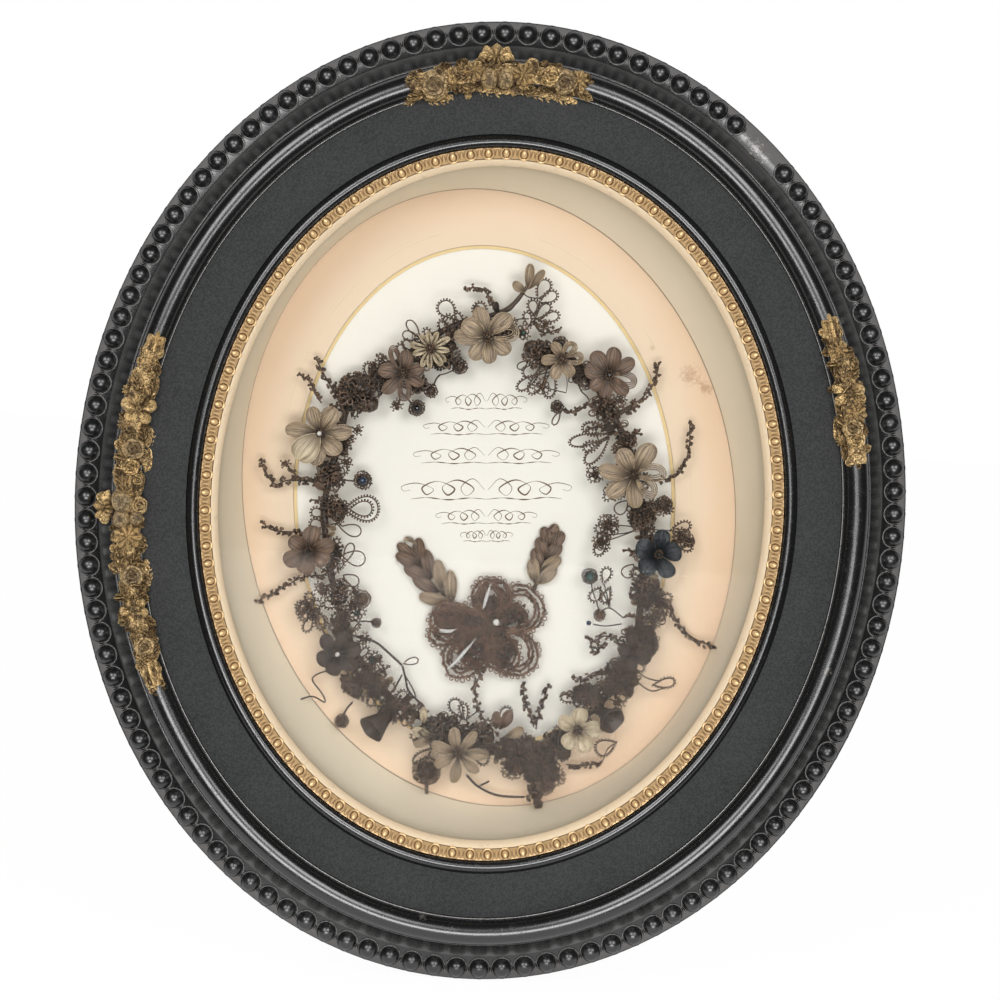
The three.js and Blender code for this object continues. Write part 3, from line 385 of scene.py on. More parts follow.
def bentWire(bm, radius, bend, segments, steps, rise=0.0, start=0.0, sweep=tau):  # a wire bent round Z
    ring = bmesh.ops.create_circle(bm, segments=segments, radius=radius)["verts"]
    seat = Matrix.Translation((bend, 0, rise)) @ Matrix.Rotation(pi / 2, 4, "X")
    bmesh.ops.transform(bm, matrix=seat, verts=ring)
    bmesh.ops.rotate(bm, cent=(0, 0, 0), matrix=Matrix.Rotation(start, 3, "Z"), verts=ring)
    spun(bm, ring, [e for e in bm.edges if e.verts[0] in ring and e.verts[1] in ring], steps, sweep)


def stamp(bm, unit, seats):  # a copy of the unit on every seat
    bmesh.ops.recalc_face_normals(unit, faces=unit.faces)
    mesh = meshOf(unit)
    for seat in seats:
        copy = mesh.copy()
        copy.transform(seat)
        bm.from_mesh(copy)
        bpy.data.meshes.remove(copy)


# the moulded frame

moulding = {
    "stripWidth": 14.98, "stripBack": 62.3, "stripFront": 67.0,
    "coveStart": 15.0, "coveEnd": 25.3, "coveLevel": 66.3, "coveFoot": 67.4, "covePower": 1.45, "fillet": 78.0,
    "torusInset": 33.9, "torusLevel": 82.0, "torusRadius": 8.1, "fine": 0.55, "fineInset": 42.55, "fineOuter": 25.2,
    "paintedSheenBand": (15.2, 24.2), "panelStart": 43.1, "panelEnd": 71.5, "panelBack": 76.0, "panelFront": 81.0,
    "beadStart": 71.8, "beadEnd": 79.6, "beadBack": 68.8, "beadLevel": 80.5,
    "eggStart": 79.9, "eggEnd": 86.5, "eggBack": 72.3, "eggHigh": 82.0, "eggLow": 77.2,
    "slopeStart": 86.8, "sightInset": 90.8, "slipBack": 68.3, "slipLip": 70.3, "slipRise": 77.0, "flange": 72.0,
}
m = moulding


def makeTorus(material):
    lift, run = m["fillet"] - m["coveFoot"], m["coveEnd"] - m["coveStart"] - 0.5
    cove = [(m["coveStart"] + run * share, m["coveFoot"] + lift * share ** m["covePower"])
            for share in (1 - i / 12 for i in range(13))]
    section = [(m["coveStart"], m["stripBack"]), (m["panelStart"] - 0.05, m["stripBack"]),
               *arc(m["fineInset"], m["panelFront"] + 0.5, m["fine"], 0, 180, 6),
               *arc(m["torusInset"], m["torusLevel"], m["torusRadius"], 0, 180, 22),
               *arc(m["fineOuter"], m["fillet"] + 0.5, m["fine"], 0, 180, 6), *cove]
    bm = ovalRing(section, easing=0, steps=288)
    worn, veil = bm.verts.layers.float["worn"], bm.verts.layers.float.new("veil")
    first, last = m["paintedSheenBand"]
    for vert in bm.verts:  # painted highlights on the fillets, and a painted sheen on the cove towards the beads
        inset = insetOf(vert.co)
        if min(abs(inset - m["fineInset"]), abs(inset - m["fineOuter"])) < 0.45:
            vert[worn] = 0.9
        elif first < inset < last:
            vert[veil] = (last - inset) / (last - first)
    finishPiece(bm, material, "ebonised_wood", "torus_moulding")


def makePanel(material):
    section = [(m["panelStart"], m["panelBack"]), (m["panelEnd"], m["panelBack"]),
               (m["panelEnd"], m["panelFront"]), (m["panelStart"], m["panelFront"])]
    finishPiece(ovalRing(section, easing=0.6, worn=0), material, "black_panel", "flat_panel")


def makeInnerBead(material):
    radius = (m["beadEnd"] - m["beadStart"]) / 2
    section = [(m["beadStart"], m["beadBack"]), (m["beadEnd"], m["beadBack"]),
               *arc(m["beadStart"] + radius, m["beadLevel"], radius, 0, 180, 16)]
    finishPiece(ovalRing(section, easing=0.2), material, "ebonised_wood", "inner_bead_moulding")


def makeSlip(material):
    section = [(m["eggStart"], m["slipBack"]), (m["sightInset"], m["slipBack"]), (m["sightInset"], m["slipLip"]),
               (m["slopeStart"], m["slipRise"]), (m["slopeStart"], m["flange"]), (m["eggStart"], m["flange"])]
    finishPiece(ovalRing(section, easing=0.3), material, "pale_gilding", "gilt_slip")


beads = {"count": 120, "inset": 7.2, "radius": 6.15, "rise": 5.2, "lost": (17, 18), "segments": 18, "rings": 10,
         "collar": 6.85, "collarRise": 0.3, "ring": 0.34, "sunk": 0.5}


def makeBeadStrip(material):
    ground = [(12.2, 0.75), (9.8, 1.2), (8.0, 1.35)]  # inset, and drop below the cove's foot
    section = [(0, m["stripBack"]), (m["stripWidth"], m["stripBack"]), (m["stripWidth"], m["coveFoot"]),
               *[(inset, m["coveFoot"] - drop) for inset, drop in ground], (beads["inset"], m["coveLevel"] - 0.2),
               (1.2, m["stripFront"]), (0.3, m["stripFront"] - 0.4)]
    bm = ovalRing(section, easing=0, steps=360)
    dusty = bm.verts.layers.float["dusty"]
    for vert in bm.verts:
        vert[dusty] = 1.0 if 1 < insetOf(vert.co) < 9 else 0.0
    unit = bmesh.new()
    dust, worn = unit.verts.layers.float.new("dusty"), unit.verts.layers.float.new("worn")
    ball = bmesh.ops.create_uvsphere(unit, u_segments=beads["segments"], v_segments=beads["rings"], radius=1)
    bmesh.ops.delete(unit, geom=[v for v in ball["verts"] if v.co.z < -0.05], context="VERTS")
    bmesh.ops.scale(unit, vec=(beads["radius"], beads["radius"], beads["rise"]), verts=unit.verts)
    bentWire(unit, beads["ring"], beads["collar"], 5, 22, rise=beads["collarRise"])  # pressed round the bead
    for vert in unit.verts:
        if hypot(vert.co.x, vert.co.y) > beads["radius"] + 0.2:  # a painted highlight on the side towards the middle
            vert[worn] = 0.85 if vert.co.y > 1.5 else 0.0
            vert.co.z += 0.1 * max(0, vert.co.y) - beads["sunk"] * max(0, min(1, (1.5 - vert.co.y) / 3))
        else:
            vert[dust] = 0.5 if vert.co.z < 1 else 0.3
    bmesh.ops.scale(unit, vec=(mm, mm, mm), verts=unit.verts)
    angles = evenAngles(beads["inset"] * mm, beads["count"])
    stamp(bm, unit, [standing(beads["inset"] * mm, angle, (m["coveLevel"] + 0.1) * mm)
                     for index, angle in enumerate(angles) if index not in beads["lost"]])
    finishPiece(bm, material, "ebonised_wood", "bead_strip_upper_right", "bead_strip_upper_left",
                "bead_strip_lower_left", "bead_strip_lower_right", name="beadStrip")


eggs = {"count": 113, "inset": 83.1, "level": 79.7, "radius": 2.35, "shape": (0.86, 1.3, 0.8), "lean": 36,
        "rim": 3.4, "wire": 0.7, "rimStart": -55, "rimSweep": 290, "rimShape": (0.95, 1.22, 1),
        "dart": (1.0, 0.5, 4.6), "dartPlace": (5.7, -0.3, 0.1)}


def makeEggBand(material):
    section = [(m["eggStart"], m["eggBack"]), (m["eggEnd"], m["eggBack"]), (m["eggEnd"], m["eggLow"] - 0.6),
               (m["eggStart"], m["eggHigh"] - 0.6)]
    bm = ovalRing(section, easing=0.3, steps=226)
    unit = bmesh.new()
    egg = bmesh.ops.create_uvsphere(unit, u_segments=10, v_segments=6, radius=eggs["radius"] * mm)["verts"]
    bmesh.ops.scale(unit, vec=eggs["shape"], verts=egg)
    bentWire(unit, eggs["wire"] * mm, eggs["rim"] * mm, 6, 12, start=radians(eggs["rimStart"]),
             sweep=radians(eggs["rimSweep"]))  # the rim is open towards the black bead
    bmesh.ops.scale(unit, vec=eggs["rimShape"], verts=[v for v in unit.verts if v not in egg])
    base, point, length = (size * mm for size in eggs["dart"])
    dart = bmesh.ops.create_cone(unit, cap_ends=True, segments=6, radius1=base, radius2=point, depth=length)
    seat = Matrix.Translation(Vector(eggs["dartPlace"]) * mm) @ Matrix.Rotation(pi / 2, 4, "X")
    bmesh.ops.transform(unit, matrix=seat, verts=dart["verts"])
    stamp(bm, unit, [standing(eggs["inset"] * mm, angle, eggs["level"] * mm, radians(eggs["lean"]))
                     for angle in evenAngles(eggs["inset"] * mm, eggs["count"])])
    finishPiece(bm, material, "gilding", "egg_and_dart_band")


carcass = {  # the section's places are inset and level in mm, and half a seam is in radians
    "nodes": ("carcass_top", "carcass_left", "carcass_bottom", "carcass_right"), "seam": 0.0006,
    "section": [(1, 34), (79.6, 34), (79.6, 68.5), (71.5, 68.5), (71.5, 75.7), (44.1, 75.7), (44.1, 62), (1, 62)],
}


def makeCarcass(material):
    seam = carcass["seam"]
    for index, node in enumerate(carcass["nodes"]):
        bm = ovalRing(carcass["section"], easing=0.5, steps=60, start=pi / 4 + index * pi / 2 + seam,
                      sweep=pi / 2 - 2 * seam)
        finishPiece(bm, material, "pine", node, name=node + "_dressed")


# gilded ornaments

def dome(r):  # a ball's height, r from its middle
    return sqrt(max(0, 1 - r * r))


# Each unit: its outline, its height (r from the middle and t round it), and its length and width
units = {
    "rose": (lambda t: 1 + 0.09 * abs(sin(2.5 * t)),
             lambda r, t: sqrt(1 - 0.9 * r * r) * (0.6 + 0.4 * ((3.2 * r ** 0.8 + t / tau) % 1) ** 0.6), (1, 1)),
    "bud": (lambda t: 1, lambda r, t: dome(r) * (0.92 + 0.08 * cos(3 * t)), (1, 1.15)),
    "leaf": (lambda t: 1 + 0.05 * cos(9 * t),
             lambda r, t: (1 - r * r) ** 0.6 * (0.62 + 0.22 * cos(18 * (r * cos(t) - 0.8 * abs(r * sin(t))))
                                                - 0.35 * exp(-(r * sin(t) / 0.1) ** 2)), (1.5, 0.72)),
    "shell": (lambda t: 0.45 + 0.55 * max(0, cos(t * 0.85)) ** 0.4 + 0.07 * cos(9 * t),
              lambda r, t: 0.4 + 0.6 * sin(pi * min(1, r * 0.9)) * (0.6 + 0.4 * cos(9 * t)) - 0.3 * r ** 4,
              (1, 1.1)),
    "flower": (lambda t: 0.5 + 0.5 * abs(cos(2.5 * t)) ** 0.5,
               lambda r, t: (0.3 + 0.55 * sin(pi * min(1, r * 0.95)))
               * (0.4 + 0.5 * abs(cos(2.5 * t)) ** 0.7 + 0.16 * cos(15 * t)) - 0.15 * r, (1, 1)),
    "ribbed": (lambda t: 1 + 0.08 * cos(9 * t),
               lambda r, t: sqrt(1 - 0.8 * r * r) * (0.72 + 0.28 * cos(9 * t) * r), (1, 1)),
    "tulip": (lambda t: 1 + 0.1 * cos(7 * t),
              lambda r, t: dome(r) * (0.7 + 0.3 * cos(10 * asin(max(-1, min(1, r * sin(t)))))), (1.5, 0.9)),
    "berry": (lambda t: 0.85, lambda r, t: 0.85 * dome(r) * (0.9 + 0.1 * cos(5 * t)), (1, 1)),
}
# Places in the photo: unit, across, down, radius in px, turn in degrees, share of the rise, and how far
# the gilt is lost
ornaments = {
    "ornament_top": {"span": (92.6, 14.6), "units": [
        ("shell", 497, 60, 16.5, 93, 0.75), ("bud", 490, 77, 8.5, 0, 1, 0.9),
        ("bud", 506, 77.5, 8.5, 0, 1, 0.9), ("berry", 492, 66, 3.5, 0, 1, 1), ("ribbed", 474, 71, 9, 0, 0.8),
        ("leaf", 471, 85, 8, 205, 0.7), ("leaf", 461, 76, 8, 190, 0.8), ("berry", 453, 78, 6, 0, 0.8),
        ("rose", 435, 84, 12, 0, 0.85, 1), ("leaf", 446, 72, 7, 160, 0.5, 0.5), ("leaf", 419, 82, 8, 175, 0.7),
        ("leaf", 419, 93, 8, 200, 0.6), ("leaf", 410, 100, 5, 215, 0.3), ("leaf", 441, 98, 9, 8, 0.4),
        ("berry", 469, 93, 4, 0, 0.4), ("leaf", 497, 91, 13, 0, 0.3), ("ribbed", 524, 74, 10, 0, 0.85),
        ("leaf", 526, 87, 9, 330, 0.7), ("berry", 540, 72, 5, 0, 0.9), ("berry", 544, 80, 4.5, 0, 0.9),
        ("rose", 552, 76, 9, 0, 0.75), ("rose", 565, 81, 10.5, 0, 0.8, 1), ("ribbed", 579, 80, 9, 0, 0.6),
        ("leaf", 582, 91, 8, 330, 0.5), ("leaf", 547, 95, 10, 350, 0.35), ("leaf", 566, 98, 9, 335, 0.35),
        ("leaf", 535, 88, 7, 10, 0.7), ("bud", 515, 88, 4, 0, 0.5)]},
    "ornament_left": {"span": (184, 24.6), "units": [
        ("tulip", 156, 345, 10, 80, 0.6), ("berry", 154, 357, 5, 0, 0.7), ("berry", 144, 358, 5.5, 0, 0.6),
        ("berry", 148, 365, 5, 0, 0.8, 0.5), ("berry", 152, 371, 5, 0, 0.8), ("leaf", 157, 363, 6, 300, 0.5),
        ("leaf", 141, 381, 10, 105, 0.75), ("leaf", 152, 386, 9, 75, 0.7), ("flower", 140, 405, 16, 90, 0.75),
        ("berry", 140, 405, 4, 0, 1, 0.6), ("berry", 143, 393, 5, 0, 0.9, 0.4), ("leaf", 130, 429, 9, 70, 0.7),
        ("leaf", 142, 431, 8, 110, 0.7), ("rose", 134, 445, 10, 0, 0.85, 1), ("leaf", 124, 459, 8, 100, 0.6),
        ("rose", 131, 463, 8, 0, 0.8), ("leaf", 151, 435, 7, 80, 0.25), ("tulip", 148, 458, 7, 95, 0.3),
        ("leaf", 124, 479, 10, 120, 0.8), ("leaf", 137, 483, 9, 75, 0.7), ("ribbed", 126, 490, 8, 0, 0.8),
        ("shell", 109, 505, 16, 180, 0.7), ("bud", 124, 498, 10, 30, 1, 1), ("rose", 136, 502, 9, 0, 0.9, 0.4),
        ("bud", 123, 515, 8, 0, 1, 1), ("bud", 134, 515, 7, 0, 0.9, 1), ("ribbed", 128, 533, 12, 0, 0.85),
        ("leaf", 140, 541, 7, 300, 0.6), ("leaf", 122, 554, 9, 95, 0.7), ("leaf", 133, 557, 8, 70, 0.7),
        ("rose", 132, 572, 10, 0, 0.85, 1), ("leaf", 147, 569, 9, 85, 0.3), ("leaf", 127, 588, 8, 120, 0.7),
        ("leaf", 137, 592, 8, 60, 0.7), ("flower", 134, 606, 13, 54, 0.75), ("berry", 134, 605, 4, 0, 1, 1),
        ("berry", 139, 614, 4.5, 0, 0.8, 1), ("leaf", 128, 618, 7, 200, 0.5), ("leaf", 145, 617, 7, 340, 0.5),
        ("berry", 141, 626, 4.5, 0, 0.8), ("leaf", 137, 635, 8, 110, 0.7), ("rose", 144, 643, 9, 0, 0.8, 0.6),
        ("leaf", 150, 655, 8, 60, 0.6), ("ribbed", 143, 656, 7, 0, 0.6), ("tulip", 151, 671, 10, 292, 0.6)]},
    "ornament_right": {"span": (17.8, 10.2), "units": [
        ("tulip", 833, 328, 10, 110, 0.6), ("berry", 836, 338, 4, 0, 0.8, 0.5), ("ribbed", 839, 347, 9, 0, 0.7),
        ("berry", 841, 355, 4.5, 0, 0.7, 0.6), ("berry", 848, 354, 4, 0, 0.7, 0.6),
        ("leaf", 842, 366, 9, 105, 0.75), ("leaf", 853, 368, 9, 75, 0.75, 0.2),
        ("flower", 850, 390, 15, 18, 0.75), ("berry", 850, 390, 4.5, 0, 1, 1),
        ("berry", 848, 378, 5, 0, 0.9, 0.5), ("berry", 853, 400, 5, 0, 0.7, 1), ("leaf", 845, 409, 8, 120, 0.7),
        ("ribbed", 857, 412, 10, 0, 0.8), ("rose", 855, 426, 9, 0, 0.9, 0.6), ("rose", 858, 437, 8, 0, 0.8),
        ("tulip", 841, 428, 8, 92, 0.3), ("leaf", 863, 449, 7, 30, 0.4), ("leaf", 857, 452, 6, 80, 0.3),
        ("leaf", 848, 452, 5, 285, 0.1)]},
}
relief = {"rise": 6.3, "sink": 2.2, "back": 0.8, "spread": 36, "grow": 1.14, "round": 36, "rings": 9, "pace": 1.7,
          "clear": 0.3, "level": 93, "between": ("leaf", "leaf", "ribbed", "tulip", "rose", "flower")}


def fillIn(draw, middle, half):  # small leaves and buds between the ornament's own
    count = int(2 * half * (halfWidth + halfHeight) / 2 / (relief["pace"] * mm))
    for i in range(count):
        share = 2 * (i + 0.5) / count - 1
        narrow = 1 - 0.45 * share ** 4
        at = ovalPlace((m["torusInset"] + draw.uniform(-8, 8) * narrow) * mm, middle + half * 0.98 * share, 0)
        yield (draw.choice(relief["between"]), at, draw.uniform(2.8, 4.4) * narrow, draw.uniform(0, 360),
               draw.uniform(0.3, 0.65) * narrow, draw.choice((0, 0, 0.3, 0.9)))


def reliefUnit(kind, wide, tall, lost):
    outline, height, stretch = units[kind]
    unit = bmesh.new()
    worn = unit.verts.layers.float.new("bare")
    ball = bmesh.ops.create_uvsphere(unit, u_segments=relief["round"], v_segments=relief["rings"] * 2, radius=1)
    bmesh.ops.delete(unit, geom=[v for v in ball["verts"] if v.co.z < -0.01], context="VERTS")
    for vert in unit.verts:
        share = asin(min(1, hypot(vert.co.x, vert.co.y))) / (pi / 2)
        t = atan2(vert.co.y, vert.co.x)
        reach = share ** 0.85 * outline(t) * wide
        high = max(0, height(min(1, share), t)) if share < 0.99 else 0
        vert.co = Vector((cos(t) * reach * stretch[0], sin(t) * reach * stretch[1], high * tall)) * mm
        vert[worn] = lost * high
    return unit


def makeOrnament(node, material):
    item = ornaments[node]
    middle, half = (radians(value) for value in item["span"])
    r, spread = m["torusRadius"] + relief["clear"], relief["spread"]
    section = [*arc(m["torusInset"], m["torusLevel"], r + relief["back"], 90 - spread, 90 + spread, 14),
               *arc(m["torusInset"], m["torusLevel"], r, 90 + spread, 90 - spread, 14)]
    bm = ovalRing(section, easing=0, steps=int(half * 200), start=middle - half * 0.93, sweep=2 * half * 0.93)
    bare = bm.verts.layers.float.new("bare")
    draw = random.Random(len(item["units"]))
    for vert in bm.verts:
        vert.co += Vector((draw.uniform(-0.5, 0.5), draw.uniform(-0.3, 0.1), draw.uniform(-0.5, 0.5))) * mm
        vert[bare] = 0.3
    placed = [(kind, fromPhoto((across, down), relief["level"]), size * photo["scale"] * relief["grow"],
               turn, rise, sum(lost)) for kind, across, down, size, turn, rise, *lost in item["units"]]
    for kind, at, wide, turn, rise, lost in [*placed, *fillIn(draw, middle, half)]:
        flat = max(-1, min(1, (insetOf(at) - m["torusInset"]) / r))  # across the torus
        at.y = -(m["torusLevel"] + r * sqrt(1 - flat ** 2) - relief["sink"]) * mm
        inwards = Vector((-at.x, 0, -at.z)).normalized()
        normal = (Vector((0, -1, 0)) * sqrt(1 - 0.6 * flat ** 2) + inwards * flat * 0.6).normalized()
        ahead = facing(radians(turn - photo["roll"]))
        ahead = (ahead - normal * ahead.dot(normal)).normalized()
        mesh = meshOf(reliefUnit(kind, wide, relief["rise"] * rise + relief["sink"], lost))
        seat = Matrix((ahead, normal.cross(ahead), normal)).transposed().to_4x4()
        mesh.transform(Matrix.Translation(at) @ seat)
        bm.from_mesh(mesh)
        bpy.data.meshes.remove(mesh)
    finishPiece(bm, material, "gilding", node, sharp=50)


# the box

chamber = {
    "glassBack": 66.0, "matBack": 6.6, "matFront": 8.6, "lipHidden": 0.8, "wall": 1.5, "flange": 8.0, "clear": 0.3,
    "footWidth": 320.6, "footHeight": 405.6, "footTurn": 11.1, "power": 1.7,
    "holeWidth": 249.8, "holeHeight": 331.0, "holeShift": -3.1, "holeTurn": 4.2, "edge": 2.3, "edgeStep": 0.4,
    "boxInset": 74.0, "boxWall": 6.0, "boxBack": 5.3, "boxFront": 33.7, "cardFront": 6.3,
}
c = chamber


def turned(x, z, turn):
    return x * cos(turn) - z * sin(turn), x * sin(turn) + z * cos(turn)


def makeLiner(material):
    lip, foot = (c["glassBack"] - c["clear"]) * mm, (c["matFront"] + c["clear"]) * mm
    under = (m["sightInset"] - c["lipHidden"]) * mm
    lipWidth, lipHeight = halfWidth - under, halfHeight - under

    def place(outwards, angle, share):  # outwards is negative inset; share runs from lip to foot
        drawn = max(0, min(1, share)) ** c["power"]
        x, z = turned((lipWidth + (c["footWidth"] / 2 * mm - lipWidth) * drawn - outwards) * cos(angle),
                      (lipHeight + (c["footHeight"] / 2 * mm - lipHeight) * drawn - outwards) * sin(angle),
                      radians(c["footTurn"]) * drawn)
        return Vector((x, -(lip + (foot - lip) * share), z))

    back = c["wall"] / ((lip - foot) / mm) / mm
    section = [*((0, i / 14 / mm) for i in range(15)), (-c["wall"], 1 / mm), (-c["wall"], 0.5 / mm),
               (-c["wall"], back), (-c["flange"], back), (-c["flange"], 0)]
    finishPiece(ovalRing(section, easing=0, place=place), material, "cream_lining", "cove_liner")


def holePlace(inset, angle, level):  # about the mat's own turned opening
    x, z = turned((c["holeWidth"] / 2 * mm - inset) * cos(angle), (c["holeHeight"] / 2 * mm - inset) * sin(angle),
                  radians(c["holeTurn"]))
    return Vector((x + c["holeShift"] * mm, -level, z))


def matPlace(inset, angle, level):  # the outer edge of the mat follows the box
    if inset < -0.001:
        return ovalPlace((c["boxInset"] + c["boxWall"] + c["clear"]) * mm, angle, level)
    return holePlace(inset, angle, level)


def makeMat(matFinish, edgeFinish):
    section = [(-5, c["matBack"]), (0, c["matBack"]), (0, c["matFront"]), (-5, c["matFront"])]
    finishPiece(ovalRing(section, easing=0, place=matPlace), matFinish, "peach_mat", "mat_board")
    section = [(c["edge"], c["matBack"]), (c["clear"], c["matBack"]), (c["clear"], c["matFront"]),
               (c["edge"], c["matBack"] + c["edgeStep"])]
    finishPiece(ovalRing(section, easing=0, place=holePlace), edgeFinish, "gilding", "mat_gilt_edge")


def makeBoxSide(material):
    inner = c["boxInset"] + c["boxWall"]
    section = [(c["boxInset"], c["boxBack"]), (inner, c["boxBack"]), (inner, c["boxFront"]),
               (c["boxInset"], c["boxFront"])]
    finishPiece(ovalRing(section), material, "pine", "box_side")


# hairwork

pixel = photo["pixel"]
outward = Vector((0, -1, 0))  # out of the card


def facing(turn, lean=0.0):  # a direction along the card; a negative lean points into the room
    return Vector((cos(turn), lean, sin(turn)))


def spot(place, stand):  # a place in the photo, stand mm in front of the card
    return fromPhoto(place, c["cardFront"] + stand)


def spots(stand, *places):
    return [spot(place, stand) for place in places]


def hairFinish(name, light, dark, roughness, grey, sheet=False):
    finish = Finish(name, roughness, specular=0.45)
    if sheet:  # the hair lies along the petal
        along, across, petal = (finish.attribute(one) for one in ("along", "across", "petal"))
        place = finish.node("CombineXYZ", X=across, Y=along * 0.1, Z=petal)
        strand = finish.node("TexNoise", Vector=place, Scale=7.0, Detail=5.0, Roughness=0.8)
        colour = finish.mix(finish.steps(strand, (0.38, 0), (0.66, 1)), dark, light)
        tone = finish.node("TexWhiteNoise", {"noise_dimensions": "1D"}, W=petal)  # no two petals alike
        colour = finish.mix(tone * 0.55, colour, tuple(0.28 * lit + 0.2 * deep for lit, deep in zip(light, dark)))
        edge = finish.steps(across.maths("ABSOLUTE"), (0.75, 0), (1, 0.4))  # painted shade: darker there and at the heart
        shade = finish.steps(along, (0.08, 0.95), (0.62, 0)).maths("MAXIMUM", edge)
        colour = finish.mix(shade, colour, darker(dark, 0.6))
        depth, reach, power = 0.35, 2.5, 0.5
    else:
        strand = finish.noise(0.55, 3, 0.6)
        lock = finish.noise(4.5, 3, 0.6)
        colour = finish.mix(finish.steps(strand * 0.7 + lock * 0.45, (0.38, 0), (0.78, 1)), dark, light)
        depth, reach, power = 0.12, 3.5, 1.7
    dust = finish.steps(finish.noise(2.2, 4, 0.75), (0.52, 0), (0.8, 1))
    colour = finish.mix(dust * grey, colour, (0.33, 0.29, 0.24))
    # painted shade in the hollows between strands and loops
    colour = finish.mix(finish.hollows(reach, power), darker(dark, 0.3), colour)
    return finish.finished(colour, roughness - 0.12 + strand * 0.25, strand, depth)


def beadFinish(name, colour, roughness, coat=0.6):
    finish = Finish(name, roughness, specular=0.6, coat=coat, coatRoughness=0.05)
    finish.set("Base Color", finish.mix(finish.noise(1.2, 3, 0.6), darker(colour, 0.6), colour))
    return finish.material


hairShades = {  # light, dark, roughness, dust
    "dark": ((0.12, 0.078, 0.053), (0.016, 0.010, 0.007), 0.38, 0.1),
    "brown": ((0.34, 0.215, 0.14), (0.033, 0.019, 0.012), 0.34, 0.1),
    "taupe": ((0.66, 0.50, 0.32), (0.085, 0.055, 0.034), 0.34, 0.08),
    "cream": ((0.86, 0.73, 0.50), (0.27, 0.20, 0.12), 0.34, 0.06),
    "slate": ((0.040, 0.047, 0.056), (0.006, 0.008, 0.010), 0.2, 0.04),
    "copper": ((0.36, 0.205, 0.125), (0.05, 0.028, 0.018), 0.42, 0.08),
    "gimp": ((0.21, 0.135, 0.088), (0.022, 0.013, 0.009), 0.46, 0.1),
}
glints = {  # material, colour, roughness, coat
    "pearl": ("pearlBead", (0.80, 0.78, 0.74), 0.2), "blue": ("blueBead", (0.012, 0.03, 0.07), 0.08),
    "teal": ("tealBead", (0.03, 0.10, 0.09), 0.15), "jet": ("jetBead", (0.006, 0.006, 0.008), 0.06),
    "quill": ("whiteQuill", (0.72, 0.71, 0.68), 0.3, 0.2),
}
finishes = {name: hairFinish(name + "Hair", *values) for name, values in hairShades.items()}
finishes.update({name + "Sheet": hairFinish(name + "Sheet", *values, sheet=True)
                 for name, values in hairShades.items() if name != "gimp"})
finishes.update({name: beadFinish(*values) for name, values in glints.items()})
palette = list(finishes.values())
shadeOf = {name: index for index, name in enumerate(finishes)}


def makeBeadString():  # a small ball on every point, of the point's own size
    tree = bpy.data.node_groups.new("beadString", "GeometryNodeTree")
    tree.interface.new_socket("Geometry", in_out="INPUT", socket_type="NodeSocketGeometry")
    detail = tree.interface.new_socket("Detail", in_out="INPUT", socket_type="NodeSocketInt")
    tree.interface.new_socket("Geometry", in_out="OUTPUT", socket_type="NodeSocketGeometry")
    given, result, ball, size, placed, real = (tree.nodes.new(kind) for kind in (
        "NodeGroupInput", "NodeGroupOutput", "GeometryNodeMeshIcoSphere", "GeometryNodeInputNamedAttribute",
        "GeometryNodeInstanceOnPoints", "GeometryNodeRealizeInstances"))
    size.inputs["Name"].default_value = "size"
    ball.inputs["Radius"].default_value = 1
    for output, socket in ((given.outputs["Geometry"], placed.inputs["Points"]),
                           (given.outputs["Detail"], ball.inputs["Subdivisions"]),
                           (ball.outputs["Mesh"], placed.inputs["Instance"]),
                           (size.outputs[0], placed.inputs["Scale"]),
                           (placed.outputs[0], real.inputs[0]), (real.outputs[0], result.inputs[0])):
        tree.links.new(output, socket)
    return tree, detail.identifier


beadString, beadDetail = makeBeadString()


def evaluated(holder):  # the mesh that a curve or a modified object comes to
    bpy.context.view_layer.update()
    mesh = bpy.data.meshes.new_from_object(holder.evaluated_get(bpy.context.evaluated_depsgraph_get()))
    bpy.data.objects.remove(holder)
    return mesh


def tube(name):  # an empty curve for wires with a radius of their own
    curve = bpy.data.curves.new(name, "CURVE")
    curve.dimensions, curve.bevel_depth, curve.bevel_resolution, curve.use_fill_caps = "3D", mm, 1, True
    return curve


def bend(a, b, d, e, t):  # a smooth way from b to d
    return 0.5 * (2 * b + (d - a) * t + (2 * a - 5 * b + 4 * d - e) * t ** 2 + (3 * b - a - 3 * d + e) * t ** 3)


def route(points, pace):  # an even walk, pace mm long, on a smooth curve through the points
    ends = [points[0] * 2 - points[1], *points, points[-1] * 2 - points[-2]]
    fine = [bend(*four, i / 10) for four in zip(ends, ends[1:], ends[2:], ends[3:]) for i in range(10)]
    fine.append(points[-1])
    walked, left = [fine[0]], pace * mm
    for here, after in zip(fine, fine[1:]):
        span = (after - here).length
        while span > left:
            here = here.lerp(after, left / span)
            span -= left
            left = pace * mm
            walked.append(here)
        left -= span
    return walked


def teardrop(base, tip, width, count=22, bulge=1.0, rise=0.0):  # a loop from its base round its tip
    along = tip - base
    across = along.cross(outward).normalized()
    points = []
    for i in range(count):
        turn = tau * i / count
        share = (1 - cos(turn)) / 2
        side = sin(turn) * sin(turn / 2) ** bulge
        points.append(base + along * share + across * (side * width * 0.65 * mm)
                      + outward * (rise * mm * sin(pi * share * 0.8)))
    return points


hairwork = {  # in mm: wires' radii, the way between picots, a picot's radius, and a sheet's thickness
    "sprigWire": 0.55, "loopWire": 0.5, "hangWire": 0.45, "picotPace": 1.75, "picot": 0.74, "sheet": 0.3,
    "tangleKnots": 1.0, "tangleLoops": 1.65,  # by area, and by width
}


